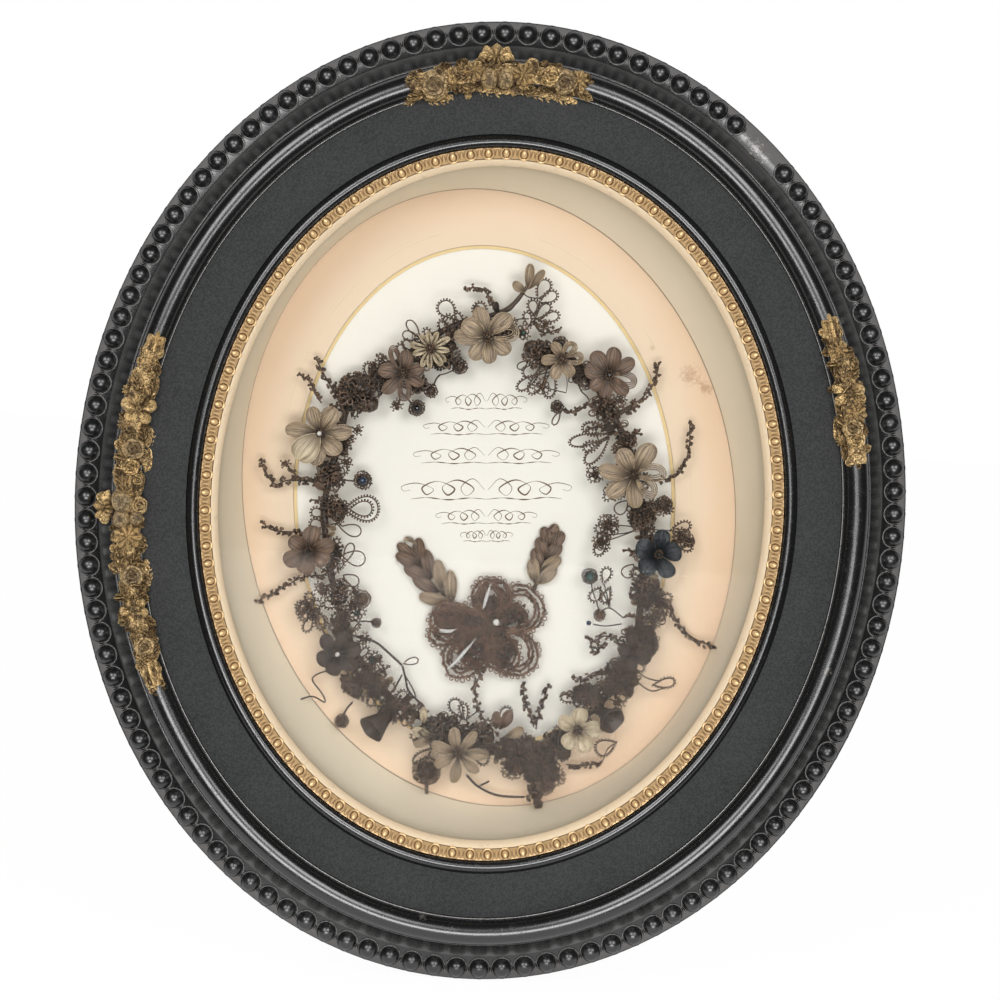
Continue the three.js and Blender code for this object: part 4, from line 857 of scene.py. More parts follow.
class Hairwork:  # the wires, beads and sheets of one piece
    def __init__(self, node, seed):
        self.node, self.solid, self.beads, self.petals = node, bmesh.new(), {}, 0
        self.random = random.Random(seed)
        self.vary, self.pick = self.random.uniform, self.random.choice
        self.curve = tube(camel(node))
        for one in palette:  # a spline's own material counts only where the curve has it
            self.curve.materials.append(one)

    def wire(self, points, radius, shade="gimp", closed=False):
        spline = self.curve.splines.new("POLY")
        spline.points.add(len(points) - 1)
        for index, (vertex, place) in enumerate(zip(spline.points, points)):
            vertex.co = (*place, 1)
            vertex.radius = radius(index / (len(points) - 1)) if callable(radius) else radius
        spline.use_cyclic_u, spline.use_smooth, spline.material_index = closed, True, shadeOf[shade]

    def bead(self, place, radius, shade="gimp", detail=1):
        self.beads.setdefault((shade, detail), []).append((place, radius))

    def jitter(self, amount):
        return Vector([self.vary(-amount, amount) * mm for _ in range(3)])

    def sprig(self, points, thick=1.0):  # thin wire with knobs of gimp left and right
        path = route(points, 0.8)
        self.wire(path, hairwork["sprigWire"])
        last = len(path) - 2
        for index in range(int(last * 0.14), last, 2):
            ahead = (path[index + 1] - path[index - 1]).normalized()
            side = ahead.cross(outward).normalized() * self.pick((-1, 1))
            knot = path[index] + (side * self.vary(0.5, 1.9) + outward * self.vary(-0.6, 1.4)) * thick * mm
            for _ in range(4):
                at = knot + self.jitter(0.9 * thick)
                self.bead(at, self.vary(0.75, 1.15), self.pick(("gimp", "gimp", "brown")))
        for _ in range(4):
            self.bead(path[-1] + self.jitter(0.9), 0.9)

    def picotLoop(self, base, tip, width, shade="gimp", lashes=True, radius=hairwork["loopWire"], rise=1.0):
        points = teardrop(base, tip, width, rise=rise)
        path = route([*points, points[0]], hairwork["picotPace"])
        self.wire(path, radius, shade)
        middle = base.lerp(tip, 0.55)
        for place in path if lashes else ():
            self.bead(place + sideways(place - middle) * mm, hairwork["picot"], shade)

    def rosette(self, place, radius, gem=None, shade="gimp"):  # little picot loops round a knot
        count = max(5, int(radius * 1.3))
        start = self.vary(0, tau)
        for i in range(count):
            turn = start + tau * i / count + self.vary(-0.25, 0.25)
            tip = place + facing(turn, self.vary(-0.35, 0.1)) * radius * self.vary(0.75, 1.1) * mm
            self.picotLoop(place + self.jitter(0.5), tip, radius * 0.62, shade if i % 3 else "brown", i % 2 == 0,
                           0.45)
        self.ball(place + outward * 0.8 * mm, radius * 0.36, shade, gem)

    def ball(self, place, radius, shade="gimp", gem=None):  # a ball worked all over with picots
        self.bead(place, radius * 0.8, "dark" if shade == "gimp" else shade, 3)
        count = int(8 + 3.2 * radius ** 2)
        for i in range(count):  # spread evenly over the ball
            height = 1 - 2 * (i + 0.5) / count
            turn = i * 2.39996  # the golden angle
            flat = sqrt(1 - height ** 2)
            normal = Vector((flat * cos(turn), -height, flat * sin(turn)))
            self.bead(place + normal * (radius * self.vary(0.95, 1.12)) * mm, self.vary(0.5, 0.8),
                      self.pick((shade, "gimp", "brown", "copper")))
        if gem:
            self.bead(place + outward * radius * 0.85 * mm, radius * 0.45 + 0.4, gem, 2)

    def hang(self, base, own):  # the wire that holds a thing to the stem
        near = min([*stemPlaces, *own], key=lambda place: (place - base).length)
        if (near - base).length > 5 * mm:
            self.wire(route([near, near.lerp(base, 0.5) + self.jitter(2), base], 1.5), hairwork["hangWire"], "dark")

    def tangle(self, place, wide, high, thick=4.0):  # a dense bunch of gimp loops
        for _ in range(10):
            at = place + Vector((self.vary(-0.6, 0.6) * wide, 0.5, self.vary(-0.6, 0.6) * high)) * mm
            self.bead(at, min(wide, high) * 0.4, "dark", 2)
        for _ in range(int(wide * high * hairwork["tangleKnots"])):
            turn, reach = self.vary(0, tau), sqrt(self.random.random())
            out = thick * sqrt(max(0, 1 - reach ** 2)) * self.vary(0.7, 1.5)
            at = place + Vector((cos(turn) * reach * wide, -out, sin(turn) * reach * high)) * mm
            self.bead(at, self.vary(0.7, 1.3), self.pick(("gimp", "gimp", "dark", "brown")))
        for k in range(int(wide * hairwork["tangleLoops"])):
            turn = self.vary(0, tau)
            edge = Vector((cos(turn) * wide, 0, sin(turn) * high))
            base = place + edge * self.vary(0.1, 0.75) * mm + outward * thick * self.vary(0.5, 1.3) * mm
            tip = base + (edge.normalized() * self.vary(3, 5.5)) * mm + self.jitter(2.5)
            self.picotLoop(base, tip, self.vary(2.5, 4.5), self.pick(("gimp", "dark", "brown")), k % 3 == 0,
                           self.vary(0.4, 0.65), 1.5)

    def sprout(self, place, turn, reach):  # one of the small things that grow from the stem
        tip = place + facing(turn, self.vary(-0.5, 0.1)) * reach * mm
        kind = self.pick(("picot", "picot", "loops", "rosette", "sprig", "leaf"))
        if kind == "picot":
            self.picotLoop(place, tip, reach * self.vary(0.4, 0.8))
        elif kind == "loops":
            for k in range(3):
                self.picotLoop(place, tip + self.jitter(1.5), reach * (0.7 - 0.2 * k), "brown", False, 0.35)
        elif kind == "rosette":
            self.wire(route([place, place.lerp(tip, 0.5) + self.jitter(1), tip], 1.0), 0.5, "dark")
            self.rosette(tip, self.vary(2.6, 4))
        elif kind == "sprig":
            self.sprig([place, place.lerp(tip, 0.5) + self.jitter(1.5), tip + (tip - place) * 0.25], 1.2)
        else:
            self.petal(place, turn, reach, reach * 0.45, self.pick(("brown", "taupe", "dark")), 2)

    def petal(self, base, turn, length, width, shade, strands=4, lift=2.0, cup=1.4, sheet=True, droop=1.0,
              bulge=0.8):
        ahead = facing(turn)
        side = ahead.cross(outward)
        lop = self.vary(-0.25, 0.25)  # each petal bends and twists its own way
        twist = self.vary(-1.5, 1.5)
        cup += self.vary(-0.3, 0.9)
        self.petals += 1

        def at(along, across):
            high = (lift * sin(min(1, along) * pi * 0.62) - droop * along ** 2 + cup * across ** 2
                    + twist * across * along + 0.2 * cos(12 * across))
            aside = across * width / 2 + lop * length * along ** 2 * 0.5
            return base + (ahead * along * length + side * aside + outward * high) * mm

        def edge(t, share):
            return share * sin(t) * sin(t / 2) ** bulge

        for k in range(min(strands, 2) if sheet else strands):
            share = 1 - 0.85 * k / strands if k else 1
            reach = 0.7 + 0.3 * share
            turns = [tau * (i + 0.5) / 20.5 for i in range(20)]
            self.wire([at(reach * (1 - cos(t)) / 2, edge(t, share) * 1.15) for t in turns],
                      (0.16 if k else 0.32) if sheet else 0.45, shade)
        if not sheet:
            return
        leaf = bmesh.new()
        across, along, petal = (leaf.verts.layers.float.new(name) for name in ("across", "along", "petal"))
        for vert in bmesh.ops.create_grid(leaf, x_segments=12, y_segments=14, size=1)["verts"]:
            share = 0.02 + 0.96 * (vert.co.x + 1) / 2
            vert[across], vert[along], vert[petal] = vert.co.y, share, self.petals * 3.1
            vert.co = at(share, edge(acos(1 - 2 * share), vert.co.y) * 1.12)
        bmesh.ops.solidify(leaf, geom=leaf.faces[:], thickness=hairwork["sheet"] * mm)
        self.add(meshOf(leaf), shade + "Sheet")

    def flower(self, place, radius, petals, turn, shade, width=None, strands=4, sheet=True, gem=None,
               lift=2.5, droop=1.0, heartSize=2.7, bare=()):  # bare: petals without a sheet of hair
        wide = width or radius * 1.5 * sin(pi / petals) + 1.2
        for i in range(petals):
            angle = radians(turn + 360 * i / petals + self.vary(-9, 9))
            reach = radius * self.vary(0.8, 1.06)
            self.petal(place + facing(angle) * 1.2 * mm, angle, reach - 1.2, wide * self.vary(0.85, 1.15), shade,
                       strands, lift * self.vary(0.6, 1.5), 1.2, sheet and i not in bare, droop)
        self.ball(place + outward * 2.0 * mm, heartSize, gem=gem)

    def add(self, mesh, shade=None):
        if shade:
            mesh.polygons.foreach_set("material_index", [shadeOf[shade]] * len(mesh.polygons))
        self.solid.from_mesh(mesh)
        bpy.data.meshes.remove(mesh)

    def make(self, slot):
        if self.curve.splines:
            self.add(evaluated(inScene(self.curve.name, self.curve)))
        for (shade, detail), group in self.beads.items():
            points = bmesh.new()
            size = points.verts.layers.float.new("size")
            for place, radius in group:
                points.verts.new(place)[size] = radius * mm
            holder = inScene("cloud", meshOf(points))
            string = holder.modifiers.new("beads", "NODES")
            string.node_group = beadString
            string[beadDetail] = detail
            self.add(evaluated(holder), shade)
        bmesh.ops.recalc_face_normals(self.solid, faces=self.solid.faces)
        finishPiece(self.solid, palette, slot, self.node, sharp=70)


def sideways(away):  # its direction along the card
    return (away - outward * away.dot(outward)).normalized()


flourish = {
    "middle": 486, "swells": 5,
    # Each row's place down the photo, its width and height in px, and how bold it is
    "rows": [(398, 40, 9, 0.28), (424, 62, 8, 0.3), (452, 72, 9, 0.32), (486, 84, 12, 0.42), (513, 50, 8, 0.28),
             (532, 26, 6, 0.24)],
    "scroll": [(0.02, 0), (0.16, 0.9), (0.3, 0.2), (0.24, -0.5), (0.15, 0.1), (0.34, 0.8), (0.52, 0.25),
               (0.46, -0.45), (0.38, 0.1), (0.58, 0.7), (0.76, 0.2), (0.71, -0.4), (0.63, 0.05), (0.82, 0.55),
               (1.0, 0.3), (0.98, -0.1), (0.9, 0.0)],
    "tail": [(0.0, -0.9), (0.2, -0.75), (0.45, -0.95), (0.7, -0.7), (0.9, -0.85)],
}


def makeFlourishes():  # plain scrolls of brown ink, alike on both sides
    finish = Finish("brownInk", 0.8, specular=0.1)
    finish.set("Base Color", finish.mix(finish.noise(3, 3, 0.6), (0.075, 0.045, 0.026), (0.22, 0.15, 0.09)))
    curve = tube("flourishes")

    def stroke(points, bold):
        path = route([fromPhoto(place, 0) for place in points], 0.5)
        spline = curve.splines.new("POLY")
        spline.points.add(len(path) - 1)
        for index, (vertex, place) in enumerate(zip(spline.points, path)):
            share = index / (len(path) - 1)
            swell = abs(sin(share * flourish["swells"] * pi)) ** 1.5
            vertex.co = (place.x, 0, place.z, 1)
            vertex.radius = 0.13 + 1.25 * bold * sin(pi * share) * swell

    middle = flourish["middle"]
    for top, wide, high, bold in flourish["rows"]:
        for way in (-1, 1):
            stroke([(middle + way * x * wide, top - y * high) for x, y in flourish["scroll"]], bold)
            stroke([(middle + way * x * wide, top + 2 - y * high * 0.7) for x, y in flourish["tail"]], bold * 0.8)
    mesh = evaluated(inScene("flourishes", curve))
    bm = bmesh.new()
    bm.from_mesh(mesh)
    bpy.data.meshes.remove(mesh)
    for vert in bm.verts:  # pressed flat on the card
        vert.co.y = -(c["cardFront"] + 0.02) * mm + vert.co.y * 0.1
    finishPiece(bm, finish.material, "card", name="penFlourishes")


stems = {"stand": 13.0, "radius": 2.8, "wrap": 1.5, "pace": 15, "reach": (6, 11)}
stemRoutes = {
    "stem_left": [(540, 760), (510, 755), (480, 745), (430, 720), (395, 700), (365, 665), (350, 640),
        (335, 590), (327, 545), (325, 500), (335, 455), (350, 400), (375, 380), (410, 350), (450, 325),
        (500, 310), (515, 300), (530, 280)],
    "stem_right": [(530, 765), (555, 745), (575, 725), (620, 680), (637, 640), (641, 600), (645, 550),
        (640, 500), (630, 455), (622, 430), (605, 400), (590, 375), (570, 355), (545, 345)],
}
tangles = {  # places in the photo, and half the width and height in mm
    "stem_left": [((358, 389), 16, 13), ((383, 372), 10, 9), ((440, 352), 14, 10), ((415, 380), 8, 7),
        ((470, 330), 9, 7), ((505, 328), 8, 7), ((340, 440), 8, 9), ((329, 470), 8, 9), ((336, 505), 7, 9),
        ((331, 550), 7, 9), ((338, 590), 6, 9), ((342, 622), 7, 9), ((347, 655), 9, 8), ((364, 680), 16, 12),
        ((395, 706), 12, 9), ((440, 728), 14, 11), ((478, 738), 14, 12), ((520, 752), 16, 13),
        ((541, 772), 11, 10)],
    "stem_right": [((540, 352), 12, 10), ((585, 372), 9, 8), ((606, 408), 7, 9), ((626, 445), 7, 9),
        ((629, 465), 9, 10), ((642, 512), 10, 10), ((648, 545), 8, 9), ((645, 590), 10, 11),
        ((640, 640), 12, 12), ((618, 678), 14, 10), ((590, 695), 11, 9), ((556, 745), 11, 11)],
}
stemPlaces = [spot(place, stems["stand"]) for places in stemRoutes.values() for place in places]
stemPlaces += [a.lerp(b, 0.5) for a, b in zip(stemPlaces, stemPlaces[1:]) if (a - b).length < 50 * mm]


def makeStem(node, seed):
    work = Hairwork(node, seed)
    step = 0.5  # mm between the places along the stem
    path = route(spots(stems["stand"], *stemRoutes[node]), step)
    turns = tau * step / stems["wrap"]
    count = len(path)

    def radius(share):  # the left stem thins towards its end
        index = share * (count - 1)
        taper = 1 - 0.45 * max(0, share - 0.85) / 0.15 if "left" in node else 1
        return stems["radius"] * taper * (0.94 + 0.07 * sin(index * turns) + 0.08 * sin(index * 0.11)
                                          + 0.05 * sin(index * 0.37))

    work.wire(path, radius, "dark")
    for index in range(12, count - 60, stems["pace"]):
        ahead = (path[index + 2] - path[index - 2]).normalized()
        way = atan2(ahead.z, ahead.x)
        for side in (-1, 1):
            turn = way + side * work.vary(0.9, 2.0)
            work.sprout(path[index] + outward * work.vary(1, 4) * mm, turn, work.vary(*stems["reach"]))
    for place, wide, high in tangles[node]:
        work.tangle(spot(place, stems["stand"] + 2), wide, high)
    work.make("dark_hair")


# Each flower: its node, place in the photo, radius in px, petals, first petal's turn, hair, and what differs
flowers = [
    ("flower_left_pale", (320, 430), 32, 7, 110, "taupe", {"gem": "pearl", "lift": 3.5, "width": 11.5}),
    ("flower_upper_left_dark", (403, 370), 27, 7, 20, "brown", {"lift": 3, "width": 9, "bare": (2, 5)}),
    ("flower_upper_left_star", (431, 346), 21, 11, 5, "cream", {"sheet": False, "strands": 3, "width": 3.8}),
    ("flower_top_pale", (488, 334), 32, 8, 15, "taupe", {"lift": 3.5, "width": 12, "bare": (0,)}),
    ("flower_top_right_light", (562, 356), 21, 6, 60, "taupe", {"width": 8, "bare": (0, 5)}),
    ("flower_upper_right_brown", (609, 372), 28, 8, 78, "brown",
     {"gem": "jet", "width": 10, "lift": 3.5, "bare": (6,)}),
    ("flower_right_light", (634, 472), 34, 7, 70, "taupe", {"lift": 4, "width": 12, "bare": (5, 6)}),
    ("flower_right_slate", (659, 552), 27, 5, 15, "slate", {"gem": "jet", "width": 13, "lift": 4}),
    ("flower_lower_right_light", (578, 729), 25, 5, 85, "cream", {"width": 11, "lift": 3.5}),
    ("flower_bottom_ribbon", (458, 752), 31, 7, 60, "taupe", {"strands": 4, "width": 7.5, "lift": 5, "droop": 3.5}),
    ("flower_lower_left_dark", (337, 651), 23, 6, 80, "dark", {"gem": "pearl", "width": 10, "lift": 4}),
    ("flower_left_brown", (309, 548), 27, 6, 150, "brown", {"gem": "jet", "width": 12, "lift": 4}),
]
flowerStand, starStand = 21.2, 25.4
palePetal = {"turn": 232, "length": 22, "width": 19, "stand": 2.5}  # one petal is broad and pale


def makeFlowers():
    for index, (node, place, radius, petals, turn, shade, more) in enumerate(flowers):
        work = Hairwork(node, 30 + index)
        at = spot(place, starStand if "star" in node else flowerStand)
        if node == "flower_left_pale":
            work.petal(at + outward * palePetal["stand"] * mm, radians(palePetal["turn"]), palePetal["length"],
                       palePetal["width"], "cream", 1, 4, 2.5, True, 2)
        work.flower(at, radius * pixel, petals, turn, shade, **more)
        work.wire([at, spot(place, stems["stand"] - 2)], 1.0, "dark")
        work.make("light_hair" if "pale" in node or "light" in node else "dark_hair")


# The sprays' own pieces, by places in the photo
sprays = {
    "spray_left": {
        "sprigs": [[(340, 398), (334, 388), (324, 370), (316, 354)],
            [(322, 400), (316, 391), (310, 378), (299, 371)],
            [(328, 478), (311, 478), (288, 477), (276, 481), (267, 470), (261, 456)],
            [(322, 482), (300, 474), (287, 462)], [(322, 531), (303, 529), (274, 527), (261, 518)],
            [(327, 572), (303, 574), (278, 587), (255, 599)]],
        "rosettes": [((308, 606), 8.5), ((286, 460), 2.6)],
        "picots": [((312, 600), (298, 608), 8), ((312, 612), (305, 628), 8), ((316, 606), (322, 626), 9),
            ((308, 600), (310, 590), 8)],
        "rings": [((322, 618), 3.6), ((322, 618), 2.2), ((338, 512), 4.4), ((338, 512), 3)],
        "wires": [([(330, 667), (316, 672), (312, 678), (322, 692), (324, 700), (312, 694), (299, 697)], 0.55),
            ([(299, 697), (302, 712)], 0.7), ([(328, 640), (322, 626), (318, 618)], 0.6)],
        "balls": [((341, 719), 4.3)],
        "stalks": [((352, 700), (341, 716))],
    },
    "spray_left_inner": {
        "balls": [((363, 477), 5.6, "gimp", "blue"), ((417, 405), 5, "gimp", "jet"), ((431, 388), 4.2),
            ((362, 596), 5.2, "brown"), ((376, 620), 3, "dark"), ((460, 364), 4.6)],
        "stalks": [((330, 480), (356, 478)), ((398, 388), (412, 401)), ((342, 576), (356, 590)),
            ((440, 372), (433, 384))],
        "rosettes": [((357, 610), 5.2, "teal"), ((397, 402), 4), ((354, 588), 3.6), ((372, 657), 6, "teal")],
        "picots": [((380, 382), (367, 361), 11), ((345, 506), (378, 505), 24), ((350, 506), (372, 505), 15)],
        "loops": [((340, 524), (361, 529), 12), ((342, 552), (365, 557), 15), ((343, 572), (358, 581), 12),
            ((420, 335), (408, 318), 9), ((420, 336), (403, 331), 9), ((424, 338), (412, 341), 8),
            ((403, 661), (418, 657), 7), ((344, 560), (352, 540), 9)],
        "wires": [([(348, 634), (353, 627), (360, 619), (373, 619)], 0.6),
            ([(350, 632), (364, 636), (376, 640), (390, 652), (402, 663)], 0.9),
            ([(402, 663), (405, 676), (409, 690), (424, 705)], 0.8), ([(392, 690), (402, 672)], 0.7),
            ([(364, 636), (370, 632)], 0.6), ([(404, 672), (412, 686), (416, 696)], 0.5)],
    },
    "spray_top": {
        "sprigs": [[(500, 318), (494, 307), (490, 296), (481, 286), (465, 286)],
            [(531, 318), (543, 330), (560, 326)]],
        "picots": [((455, 316), (441, 300), 15), ((538, 296), (547, 278), 12), ((540, 300), (556, 291), 10),
            ((534, 312), (532, 298), 9), ((536, 316), (549, 302), 9), ((540, 318), (558, 312), 9),
            ((530, 324), (526, 310), 7)],
        "petals": [((527, 287), 83, 16.5, 6.5, "taupe"), ((528, 287), 50, 16, 5.5, "taupe"),
            ((526, 289), 158, 10, 6.5, "taupe")],
        "rosettes": [((523, 330), 5, "teal"), ((545, 322), 3.5)],
        "balls": [((560, 342), 5, "dark", "jet")],
        "wires": [([(504, 330), (514, 318), (530, 316)], 0.5)],
    },
    "spray_right": {
        "sprigs": [[(616, 410), (624, 406), (641, 396), (654, 380), (659, 359)],
            [(612, 414), (626, 409), (638, 403)], [(650, 478), (668, 476), (680, 470), (689, 447), (690, 419)],
            [(655, 598), (670, 607), (681, 624), (695, 637), (716, 646)], [(604, 687), (618, 690), (632, 692)]],
        "rosettes": [((660, 600), 8.5), ((655, 616), 7.5), ((682, 535), 7), ((665, 505), 6)],
        "balls": [((664, 502), 5.2, "dark"), ((620, 668), 8, "dark"), ((690, 540), 3.2)],
        "picots": [((655, 684), (675, 680), 9), ((672, 528), (690, 522), 9), ((674, 540), (692, 546), 8)],
        "wires": [([(632, 668), (640, 682), (653, 690), (666, 686)], 0.5),
            ([(634, 666), (646, 676), (660, 680)], 0.5)],
        "flowers": [((636, 650), 20, 5, 30, "dark")],
    },
    "spray_right_inner": {
        "sprigs": [[(624, 640), (606, 634), (594, 640), (586, 635)],
            [(615, 672), (597, 670), (583, 678), (573, 674)], [(608, 399), (590, 401), (574, 410), (564, 405)],
            [(612, 428), (596, 424), (586, 428)], [(566, 764), (584, 765), (603, 762)],
            [(606, 640), (596, 650), (590, 644)], [(560, 694), (576, 692), (590, 690)]],
        "picots": [((612, 428), (583, 425), 12), ((610, 432), (570, 440), 11), ((608, 436), (586, 460), 11),
            ((600, 440), (584, 446), 9), ((540, 362), (524, 372), 11), ((546, 366), (530, 390), 11),
            ((552, 368), (548, 394), 11), ((538, 372), (518, 386), 9), ((606, 532), (597, 552), 10),
            ((604, 580), (608, 566), 9), ((600, 586), (592, 598), 10), ((610, 586), (604, 600), 8),
            ((616, 742), (597, 750), 15), ((574, 700), (562, 694), 8)],
        "rosettes": [((595, 472), 5.6), ((612, 490), 6), ((608, 522), 8), ((602, 540), 6), ((542, 384), 5)],
        "balls": [((590, 574), 4.8, "slate", "teal"), ((600, 613), 3.6, "copper"), ((557, 404), 4, "dark")],
        "loops": [((628, 498), (616, 510), 12), ((634, 562), (624, 574), 12), ((560, 408), (553, 422), 6),
            ((640, 572), (652, 580), 8)],
        "beads": [((589, 621), 1.7, "blue")],
        "wires": [([(624, 616), (610, 606), (600, 610)], 0.5), ([(622, 622), (606, 624), (592, 622)], 0.5),
            ([(582, 372), (580, 386), (587, 394), (590, 400)], 0.5),
            ([(565, 368), (567, 380), (566, 390)], 0.3)],
    },
    "spray_bottom": {
        "sprigs": [[(486, 722), (479, 709), (475, 688), (483, 664)],
            [(534, 726), (530, 713), (524, 695), (524, 681)], [(536, 728), (538, 716), (543, 700), (549, 682)]],
        "picots": [((462, 716), (452, 698), 12), ((466, 718), (462, 702), 8), ((430, 748), (414, 762), 10),
            ((500, 726), (508, 706), 11)],
        "petals": [((500, 728), 60, 14, 8, "brown"), ((496, 728), 95, 12, 6, "brown"),
            ((430, 732), 175, 12, 7, "cream"), ((424, 722), 100, 11, 5, "cream"),
            ((434, 736), 205, 14, 6, "taupe"), ((505, 735), 20, 13, 7, "taupe")],
        "rosettes": [((557, 777), 6), ((418, 738), 5), ((512, 770), 6.5)],
        "balls": [((426, 770), 8.6), ((533, 765), 5, "copper"), ((545, 785), 6)],
        "wires": [([(426, 776), (426, 793)], 1.3), ([(466, 774), (478, 786), (498, 795), (526, 797)], 0.9),
            ([(478, 786), (490, 780)], 0.7)],
        "fringe": [((535, 780), (535, 799))],
    },
}
sprayStand = 12.5


def makeSprays():
    for index, (node, item) in enumerate(sprays.items()):
        work = Hairwork(node, 51 + index)

        def at(place, out=0):
            return spot(place, sprayStand + out)

        def each(kind):
            return item.get(kind, [])

        for points in each("sprigs"):
            work.sprig([spot(place, sprayStand - 2 + 3 * i / len(points)) for i, place in enumerate(points)])
        own = [at(place) for kind in ("sprigs", "stalks") for points in each(kind) for place in points]
        own += [at(place) for points, _ in each("wires") for place in points]
        for kind in ("picots", "loops", "rosettes", "balls", "beads"):
            for base, *_ in each(kind):
                work.hang(at(base, 1), own)
        for base, tip, width in each("picots"):
            work.picotLoop(at(base, 3), at(tip, 4), width * pixel)
        for base, tip, width in each("loops"):
            work.picotLoop(at(base, 2), at(tip, 4), width * pixel, lashes=False)
        for place, radius, *gem in each("rosettes"):
            work.rosette(at(place, 4), radius, *gem)
        for place, radius in each("rings"):
            work.wire([at(place, 6) + facing(tau * i / 18) * radius * mm for i in range(18)], 0.5, "brown", True)
        for place, *rest in each("balls"):
            work.ball(at(place, 2), *rest)
        for base, tip in each("stalks"):
            middle = ((base[0] + tip[0]) / 2, (base[1] + tip[1]) / 2 - 2)
            work.wire(route([at(base), at(middle, 2), at(tip, 2)], 1), 0.6, "dark")
        for points, radius in each("wires"):
            work.wire(route([at(place) for place in points], 1.0), radius, "dark")
        for place, radius, count, turn, shade in each("flowers"):
            work.flower(at(place, 6), radius * pixel, count, turn, shade, strands=3, width=9, heartSize=1.8)
            work.wire([at(place, 5), at(place)], 0.7, "dark")
        for place, turn, length, width, shade in each("petals"):
            work.petal(at(place, 6), radians(turn), length, width, shade, 3, 3)
        for place, radius, shade in each("beads"):
            work.bead(at(place, 8), radius, shade, 2)
        for base, tip in each("fringe"):
            for _ in range(9):
                work.sprig([at(base) + work.jitter(4), at(tip) + work.jitter(5)], 0.9)
        work.make("dark_hair")


trumpet = {"base": 2.6, "throat": 5.2, "mouth": 9.2, "lobes": 5, "steps": 60, "stalk": 13}


def makeTrumpet(node, base, tip, stands, length, seed):
    work = Hairwork(node, seed)
    bm, t = work.solid, trumpet
    profile = [(0.2, 0), (t["base"], 0.02), (t["base"] + 0.8, 0.25), (t["throat"], 0.55), (t["mouth"] - 1.5, 0.82),
               (t["mouth"], 0.96), (t["mouth"] - 0.6, 1.0), (t["mouth"] - 2.4, 0.93), (t["throat"] - 1.2, 0.6),
               (0.6, 0.45), (0.05, 0.45)]  # radius in mm, and share of the length
    verts = [bm.verts.new((radius * mm, 0, share * length * mm)) for radius, share in profile]
    spun(bm, verts, [bm.edges.new(pair) for pair in zip(verts, verts[1:])], t["steps"])
    for vert in bm.verts:  # the strands rib the wall, and the rim is lobed
        angle = atan2(vert.co.y, vert.co.x)
        high = vert.co.z / (length * mm)
        swell = 1 + 0.035 * cos(angle * t["steps"] / 2) + 0.13 * max(0, high - 0.6) * cos(t["lobes"] * angle)
        vert.co.x *= swell
        vert.co.y *= swell
    a, b = spot(base, stands[0]), spot(tip, stands[1])
    turn = (b - a).to_track_quat("Z", "Y").to_matrix().to_4x4()
    bmesh.ops.transform(bm, matrix=Matrix.Translation(a) @ turn, verts=bm.verts)
    for face in bm.faces:
        face.material_index = shadeOf["dark"]
    heart = a.lerp(b, 0.8)
    for _ in range(14):
        work.bead(heart + work.jitter(3.0), 0.8)
    root = [near + (near - far) * 0.6 for near, far in zip(base, tip)]
    work.wire([a.lerp(b, 0.1), spot(base, t["stalk"]), spot(root, t["stalk"])], 2.4, "dark")
    work.make("dark_hair")


bow = {
    "middle": (490, 622), "stand": 5.5, "quillStand": 11.5, "pearl": (496, 620), "pearlStand": 12.0, "wire": 0.75,
    "shares": (1.0, 0.84, 0.68),  # each loop holds two smaller ones
    "loops": [  # far ends and widths in px, and how open each loop is
        ((486, 579), 20, 0.6), ((497, 577), 22, 0.6), ((540, 597), 32, 0.5), ((527, 612), 18, 0.2),
        ((530, 668), 28, 0.6), ((508, 668), 22, 0.1), ((450, 671), 26, 0.4), ((468, 664), 24, 0.1),
        ((429, 632), 18, 0.4), ((429, 616), 18, 0.4), ((436, 606), 14, 0.1)],
    "quills": [[(447, 667), (456, 659), (464, 650), (476, 636)], [(483, 606), (486, 596), (488, 590), (491, 580)],
               [(439, 627), (448, 629), (458, 626)]],
}


def makeBow():
    work = Hairwork("bow", 71)
    knot = spot(bow["middle"], bow["stand"])
    for place, *_ in bow["loops"]:  # the dark ground of the bow
        for share in (0.1, 0.2, 0.3, 0.4):
            work.bead(knot.lerp(spot(place, bow["stand"]), share) + work.jitter(1), 2.7, "dark", 2)
    for place, width, openness in bow["loops"]:
        tip = spot(place, bow["stand"])
        for share in bow["shares"]:
            end = knot.lerp(tip, 0.55 + 0.45 * share) + work.jitter(0.8)
            base = knot.lerp(tip, 0.04) + work.jitter(1.5)
            loop = teardrop(base, end, width * pixel * share * 1.4, 18, 0.7, 2.5 * share)
            path = [point + work.jitter(0.7) for point in loop]
            path = route([*path, path[0]], 1.15)
            work.wire(path, bow["wire"], "copper")
            for at in path:
                work.bead(at + work.jitter(0.7), work.vary(0.8, 1.25), work.pick(("copper", "copper", "gimp")))
            if share == 1.0:
                edgeRings(work, path[::3], knot.lerp(tip, 0.6))
        for _ in range(int(90 + 260 * (1 - openness))):  # looped hair that fills the loop's base
            share = work.vary(0.05, 0.32 + 0.55 * (1 - openness))
            at = knot.lerp(tip, share) + work.jitter(width * pixel * 0.28 * (0.4 + share))
            work.bead(at, work.vary(0.8, 1.3), work.pick(("copper", "copper", "gimp", "dark")))
    work.rosette(knot + outward * 2.5 * mm, 5.0, shade="copper")
    for points in bow["quills"]:
        work.wire(route(spots(bow["quillStand"], *points), 1.2),
                  lambda share: 0.35 + 1.0 * sin(pi * min(1, share + 0.08)), "quill")
    work.make("copper_hair")
    pearl = Hairwork("bow_pearl", 72)
    pearl.bead(spot(bow["pearl"], bow["pearlStand"]), 2.3, "pearl", 3)
    pearl.make("pearl")


